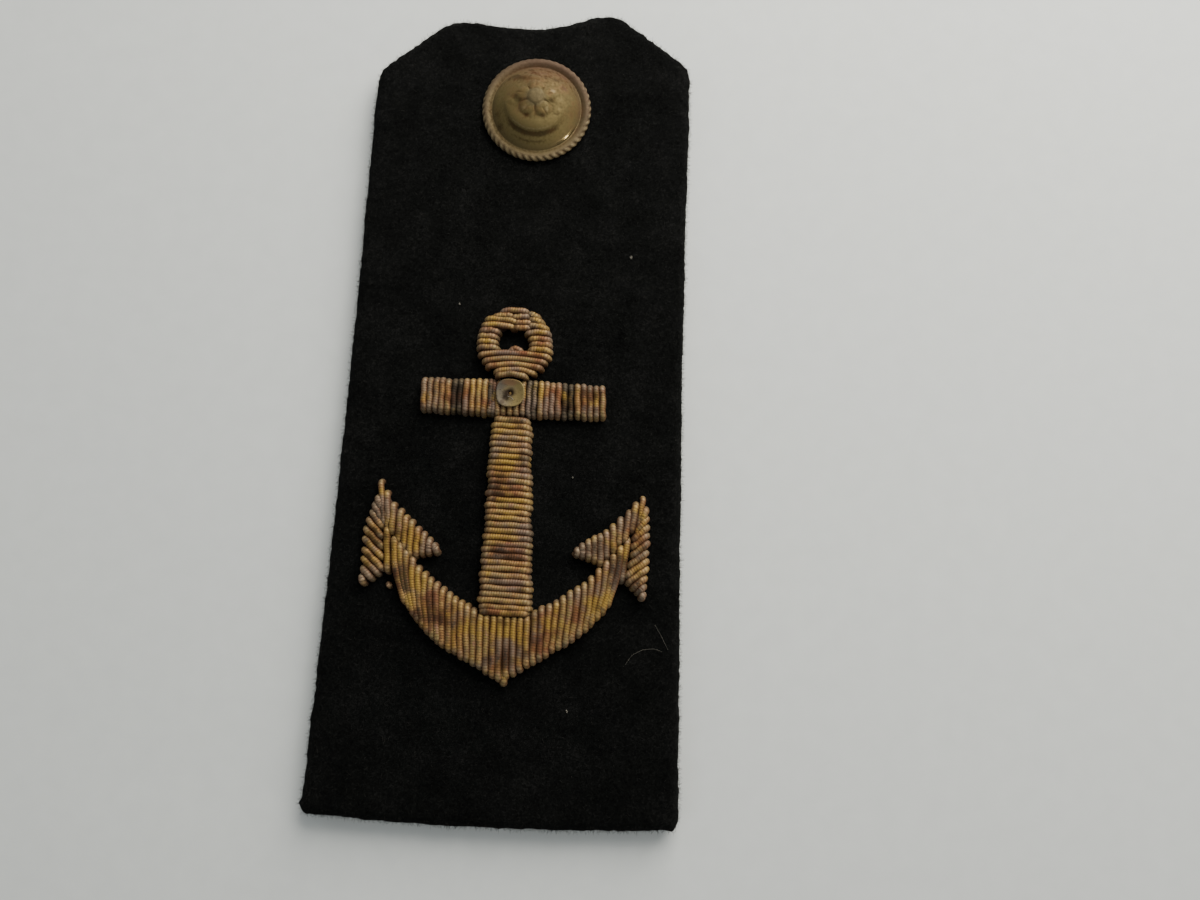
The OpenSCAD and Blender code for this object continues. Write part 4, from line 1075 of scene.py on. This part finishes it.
# Pinkish brown at the top, and tarnish round the eye that runs to the lower left
for x, y, reach_x, reach_y, amount, tint in (
        (0.0, 1.5, 1.3, 0.6, 0.6, "#77563e"), (-0.1, 0.0, 1.0, 0.8, 1.0, "#281c0e"),
        (-0.6, -0.75, 0.55, 0.5, 0.85, "#2a1f12"), (-1.0, -1.3, 0.4, 0.4, 0.7, "#33271a")):
    far = level_distance(tree, place, spangle_x + x, spangle_y + y, reach_x, reach_y)
    frayed = node(tree, "ShaderNodeMath", {0: film.outputs[0], 1: 0.8, 2: far}, operation="MULTIPLY_ADD")
    share = node(tree, "ShaderNodeMapRange", {
        "Value": frayed, "From Min": 1.4, "From Max": 0.9, "To Max": amount})
    base = node(tree, "ShaderNodeMix", {0: share, 6: base, 7: rgb(tint)}, data_type="RGBA").outputs[2]
specks = node(tree, "ShaderNodeTexNoise", {"Vector": place, "Scale": 1 / (0.25 * mm), "Detail": 4.0})
spot = node(tree, "ShaderNodeMapRange", {
    "Value": specks.outputs[0], "From Min": 0.58, "From Max": 0.72, "To Max": 0.7})
base = node(tree, "ShaderNodeMix", {0: spot, 6: base, 7: rgb("#33230f")}, data_type="RGBA")
bump = node(tree, "ShaderNodeBump", {
    "Strength": 0.4, "Distance": 0.03 * mm, "Height": specks.outputs[0]})
metal = node(tree, "ShaderNodeBsdfPrincipled", {
    "Base Color": base.outputs[2], "Metallic": 0.7, "Roughness": 0.58, "Normal": bump})
node(tree, "ShaderNodeOutputMaterial", {"Surface": metal})
spangle.data.materials.append(stamped)
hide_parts("spangle")
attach(spangle, "root")

# Shank
# Level strands over a firm pad, from the stock down to the crown. It widens downwards and
# leans a little.

shank_l = 26.1
shank_top, shank_foot = stock_y - stock_down - side_gap, stock_y - stock_down - shank_l
shank_half_top, shank_half_foot = 2.55, 3.5
shank_x, foot_x = block_x, block_x + 0.6
shank_outline = [
    (foot_x - shank_half_foot, shank_foot + side_gap), (foot_x + shank_half_foot, shank_foot + side_gap),
    (shank_x + shank_half_top, shank_top), (shank_x - shank_half_top, shank_top)]
shank_p = 0.84
rows = strand_rows(shank_outline, 0, -shank_top, -shank_foot - side_gap, shank_p)
# The last strand lies close to the crown, the first one is short and the second sticks out.
rows.append((-shank_foot + 0.1, foot_x - 3.4, foot_x + 3.4, 0))
rows[0] = (rows[0][0], -2.35, 2.15, 0)
rows[1] = (rows[1][0], rows[1][1] - 0.1, rows[1][2] - 0.1, 0)
strands, under = laid_rows("shank", rows, 0, strand_top + low_step, tilt=1.4, ragged=0.16)
lay_strands("shank_strands", "shank", gold_wire, strands, shank_p, [under])

# Crown and arms
# Upright strands over padding. Towards the flukes they lean, and their lower ends sweep
# along the outer edge. One strand hangs out at the crown's point.

arm_p = 0.88
crown_point = (foot_x, shank_foot - 9.2)
arm_reach, arm_rise = 15.9, 13.9
fluke_w, fluke_h, fluke_out = 10.2, 14.6, 3.4
crown_half = 3.55


def arm_point(hand, reach, height):
    return (crown_point[0] + hand * reach, crown_point[1] + height)


def rounded(before, corner, after):
    """Points of the curve that rounds a corner off."""
    length, steps = 4, 5
    before, corner, after = (np.array(p, float) for p in (before, corner, after))
    start = corner + (before - corner) / np.linalg.norm(before - corner) * length
    end = corner + (after - corner) / np.linalg.norm(after - corner) * length
    ts = np.linspace(0, 1, steps + 1)
    return [tuple((1 - t) ** 2 * start + 2 * t * (1 - t) * corner + t ** 2 * end) for t in ts]


feet = {hand: arm_point(hand, arm_reach, arm_rise) for hand in (-1, 1)}
elbows = {hand: arm_point(hand, reach * arm_reach, height * arm_rise)
          for hand, reach, height in ((-1, 0.64, 0.39), (1, 0.7, 0.5))}
tops = {hand: arm_point(hand, arm_reach + fluke_out - share * fluke_w, arm_rise + 0.33 * fluke_h)
        for hand, share in ((-1, 0.35), (1, 0.38))}
notches = {hand: arm_point(hand, arm_reach - 0.33 * fluke_w, arm_rise + 0.1 * fluke_h) for hand in (-1, 1)}
armpits = {hand: (foot_x + hand * crown_half, shank_foot) for hand in (-1, 1)}


def upper_edge(hand):
    """Points of an arm's hollow upper edge, from the shank out to the notch."""
    p, q = np.array(armpits[hand]), np.array(notches[hand])
    side = np.array([-(q - p)[1], (q - p)[0]]) / np.linalg.norm(q - p)
    return [tuple(p + t * (q - p) - hand * 2.0 * t * (1 - t) * side) for t in (0, 1 / 3, 2 / 3, 1)]


arms_outline = (
    [feet[-1]] + rounded(feet[-1], elbows[-1], crown_point) + [crown_point]
    + rounded(crown_point, elbows[1], feet[1]) + [feet[1], tops[1]]
    + upper_edge(1)[::-1] + upper_edge(-1) + [tops[-1]])


def left_sweep(place):
    return float(np.interp(place, [-15.4, -14.0, -12.0, -8.0, -3.5], [2.3, 2.0, 1.3, 0.5, 0.3]))


def right_sweep(place):
    return float(np.interp(place, [4.5, 8.0, 12.0, 14.0, 16.0], [0.0, -0.4, -0.7, -1.1, -1.6]))


# Name, first and last place, sweep of the lower ends
arm_groups = [
    ("arm_left", feet[-1][0] + 0.3, foot_x - crown_half - side_gap / 2, left_sweep),
    ("crown", foot_x - crown_half + side_gap / 2, foot_x + crown_half - side_gap / 2, lambda place: 0.2),
    ("arm_right", foot_x + crown_half + side_gap / 2, feet[1][0] - 0.45, right_sweep),
]
for name, first, last, sweep in arm_groups:
    rows = []
    for place, start, end, lean in strand_rows(arms_outline, 90, first, last, arm_p, sweep):
        # The crown's strands stop short of the shank. Where they meet a fluke, the others run on.
        by_fluke = abs(place - foot_x) > 12
        rows.append((place, start, end + (-0.3 if name == "crown" else 0.4 * by_fluke), lean))
    strands, under = laid_rows(name, rows, 90, strand_top)
    if name == "crown":
        strands.append(strand_path(90, 0.9, -39.1, -36.6, cloth_z + 1.5, shoulder=0.7))
    lay_strands(name + "_strands", name, gold_wire, strands, arm_p, [under])

# Flukes
# Each fluke has an inner half of upright strands and an outer half of slanting ones, which
# meet on a seam. A longer strand makes each tip, and one loose end lies by the left foot.

fluke_top = strand_top - 0.15
# Strands of each half: number of the strand in its row, and where it starts and ends. The
# strands between two lines of the table lie evenly between them.
fluke_rows = {
    "left_inner": [
        (0, -15.65, -19.0, -16.25, -14.4), (1, -15.1, -20.1, -15.2, -15.75), (2, -14.2, -21.3, -14.2, -16.65),
        (4, -12.6, -23.1, -12.6, -18.15), (5, -11.75, -22.95, -11.7, -18.9), (7, -10.05, -22.6, -10.1, -20.3),
        (8, -8.9, -22.4, -9.55, -21.05)],
    "left_outer": [
        (0, -17.4, -14.9, -16.85, -17.0), (1, -17.85, -15.9, -16.55, -18.4), (2, -18.2, -16.9, -16.3, -19.45),
        (4, -18.8, -19.35, -16.0, -22.1), (6, -18.85, -22.0, -15.85, -24.8), (7, -18.85, -23.3, -16.3, -25.6),
        (8, -18.85, -24.5, -17.25, -26.2), (9, -18.8, -25.6, -18.2, -26.9)],
    "right_inner": [
        (0, 16.85, -18.4, 17.35, -14.35), (1, 15.95, -19.9, 16.45, -15.3), (2, 15.2, -20.3, 15.35, -16.45),
        (3, 14.5, -21.3, 14.35, -17.45), (5, 12.9, -23.1, 12.7, -18.8), (6, 12.1, -22.7, 11.95, -19.1),
        (8, 10.45, -22.05, 10.4, -20.2), (9, 9.7, -21.95, 9.8, -20.75)],
    "right_outer": [
        (0, 18.05, -17.2, 18.7, -14.9), (2, 17.05, -19.4, 19.05, -17.3), (4, 16.85, -21.7, 19.2, -19.5),
        (6, 16.2, -24.3, 19.15, -21.9), (7, 16.4, -25.25, 19.1, -23.0), (8, 17.1, -25.9, 19.05, -24.1),
        (10, 18.4, -27.15, 18.85, -26.2)],
}
# Strands besides: the tips, those beside the seams and the feet, the barb's thin end, and a
# loose end by the left foot. Half, start, end, height above the cloth, thickness as a share
spare_strands = [
    ("left_inner", (-16.3, -19.0), (-17.1, -12.75), 1.62, 0.85),
    ("left_inner", (-15.25, -25.2), (-15.85, -19.0), 1.66, 1.0),
    ("right_inner", (17.7, -17.9), (18.25, -13.4), 1.6, 0.8),
    ("right_inner", (15.75, -25.1), (16.4, -19.0), 1.6, 1.0),
    ("right_inner", (17.45, -19.6), (17.9, -16.6), 1.55, 0.8),
    ("left_inner", (-15.75, -19.4), (-16.2, -15.9), 1.58, 0.8),
    ("right_inner", (9.1, -21.65), (10.3, -21.3), 0.9, 0.7),
    ("left_outer", (-15.45, -26.5), (-14.8, -27.15), 0.6, 0.8),
]


def strand_between(start, end, top):
    """A strand's path from one place to another."""
    way = math.degrees(math.atan2(end[1] - start[1], end[0] - start[0]))
    turn = math.radians(way)
    place = start[0] * math.sin(turn) - start[1] * math.cos(turn)
    along = start[0] * math.cos(turn) + start[1] * math.sin(turn)
    return strand_path(way, place, along, along + math.dist(start, end), top)


for half, table in fluke_rows.items():
    chance = random.Random(half)
    numbers = [row[0] for row in table]
    strands, under = [], []
    for k in range(numbers[-1] + 1):
        x1, y1, x2, y2 = (float(np.interp(k, numbers, column)) for column in list(zip(*table))[1:])
        way = np.array([x2 - x1, y2 - y1]) / math.hypot(x2 - x1, y2 - y1)
        start = np.array([x1, y1]) - way * chance.uniform(-0.08, 0.12)
        end = np.array([x2, y2]) + way * chance.uniform(-0.12, 0.12)
        strands.append(strand_between(start, end, fluke_top))
        under.append(strand_between(start + way * 0.12, end - way * 0.12, fluke_top - pad_depth))
    thin = {}
    for spare_half, start, end, height, share in spare_strands:
        if spare_half == half:
            thin[len(strands)] = share
            strands.append(strand_between(start, end, cloth_z + height))
    name = "fluke_" + half
    lay_strands(name + "_strands", name, gold_wire, strands, arm_p, [under], thin)

# Lint
# Specks of dust and two loose hairs that cling to the nap.

# Pale cotton lint and a fine hair: soft, dull and thin enough to look grey.
lint_fibre = mottled("cotton lint", 0.5, 2.0, [(0.4, "#625e55"), (0.6, "#918c80")], {"Roughness": 0.9})
chance = random.Random(5)
on_cloth, on_spangle = cloth_z + 0.18, spangle_z + 0.35
# Two hairs, and a thread in the spangle's eye: points, thickness, height
hair_paths = [
    ([(16.75, -35.8), (17.6, -34.45), (19.0, -33.7), (20.6, -33.5), (21.6, -33.9)], 0.009, on_cloth),
    ([(20.5, -30.4), (21.4, -31.8), (22.35, -33.6)], 0.008, on_cloth),
    ([(-0.75, -0.75), (-0.3, -0.85), (0.05, -1.2)], 0.03, on_spangle),
]
# Specks of four short fibres each: x, y and size
for x, y, size in ((15.2, 20.3, 0.16), (8.6, -11.2, 0.14), (9.4, -42.1, 0.12), (-8.4, 12.4, 0.1)):
    for k in range(4):
        a = chance.uniform(0, 6.28)
        reach = size * chance.uniform(0.7, 1.8)
        hair_paths.append(([
            (x - reach * math.cos(a), y - reach * math.sin(a)),
            (x + chance.uniform(-0.05, 0.05), y + chance.uniform(-0.05, 0.05)),
            (x + reach * math.cos(a + 0.6), y + reach * math.sin(a + 0.6))], 0.03, on_cloth))
lint_points, lint_faces = [], []
for path, thick, height in hair_paths:
    line = [np.array(path[0])]
    for p, q in zip(path, path[1:]):
        line += [np.array(p) + (np.array(q) - np.array(p)) * t for t in (0.25, 0.5, 0.75, 1)]
    smooth = [line[0]] + [(a + 2 * b + c) / 4 for a, b, c in zip(line, line[1:], line[2:])] + [line[-1]]
    for k, p in enumerate(smooth):
        way = smooth[min(k + 1, len(smooth) - 1)] - smooth[max(k - 1, 0)]
        way = way / np.linalg.norm(way)
        side = np.array([-way[1], way[0], 0])
        spot = np.array([p[0], p[1], height + 0.06 * math.sin(2.1 * k)])
        for out in (side, np.array([0, 0, 1]), -side, np.array([0, 0, -1])):
            lint_points.append((spot + thick * out) * mm)
        if k:
            base = len(lint_points) - 8
            lint_faces += [(base + j, base + (j + 1) % 4, base + 4 + (j + 1) % 4, base + 4 + j)
                           for j in range(4)]
    last = len(lint_points)
    first = last - 4 * len(smooth)
    lint_faces += [tuple(range(first, first + 4))[::-1], tuple(range(last - 4, last))]
lint = new_piece("lint_and_hairs", mesh_of("lint_and_hairs", lint_points, lint_faces))
turn_outwards(lint)
lint.data.shade_smooth()
lint.data.materials.append(lint_fibre)
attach(lint, "root")

# Floor, light and camera
# A plain pale floor, a large soft light from the upper right with an even fill, a small
# low light from the right that the button's polished band catches, and the photograph's
# viewpoint.

half_floor = 0.8
floor = new_piece("floor", mesh_of("floor", [
    (x * half_floor, y * half_floor, 0) for x, y in ((-1, -1), (1, -1), (1, 1), (-1, 1))], [(0, 1, 2, 3)]))
# Pale paper: dull, with a tooth that hardly shows.
floor.data.materials.append(mottled(
    "pale paper", 3, 4.0, [(0.3, "#d6dad6"), (0.7, "#dadeda")], {"Roughness": 0.9}))


def new_light(name, place, aim, size, power, colour):
    """A square area light in metres and watts, turned to a point."""
    data = bpy.data.lights.new(name, "AREA")
    data.size = size
    data.energy = power
    data.color = rgb(colour)[:3]
    lamp = bpy.data.objects.new(name, data)
    bpy.context.scene.collection.objects.link(lamp)
    lamp.location = place
    lamp.rotation_euler = (Vector(aim) - Vector(place)).to_track_quat("-Z", "Y").to_euler()


new_light("window", (0.11, 0.2, 0.16), (0.02, 0.03, 0), 0.26, 1.6, "#fffaf2")
new_light("low lamp", (0.449, -0.18, 0.034), (0.001, 0.042, 0.008), 0.06, 0.6, "#fff4e0")
world = bpy.data.worlds.new("even fill")
world.use_nodes = True
world.node_tree.nodes["Background"].inputs["Color"].default_value = rgb("#e9edf0")
world.node_tree.nodes["Background"].inputs["Strength"].default_value = 0.5
bpy.context.scene.world = world

camera_data = bpy.data.cameras.new("camera")
camera_data.lens = 31.08
camera_data.sensor_width = 36
camera = bpy.data.objects.new("camera", camera_data)
bpy.context.scene.collection.objects.link(camera)
camera.location = (12.109 * mm, -29.128 * mm, 143.291 * mm)
camera.rotation_euler = [math.radians(a) for a in (8.906, -0.4195, 2.6755)]
bpy.context.scene.camera = camera
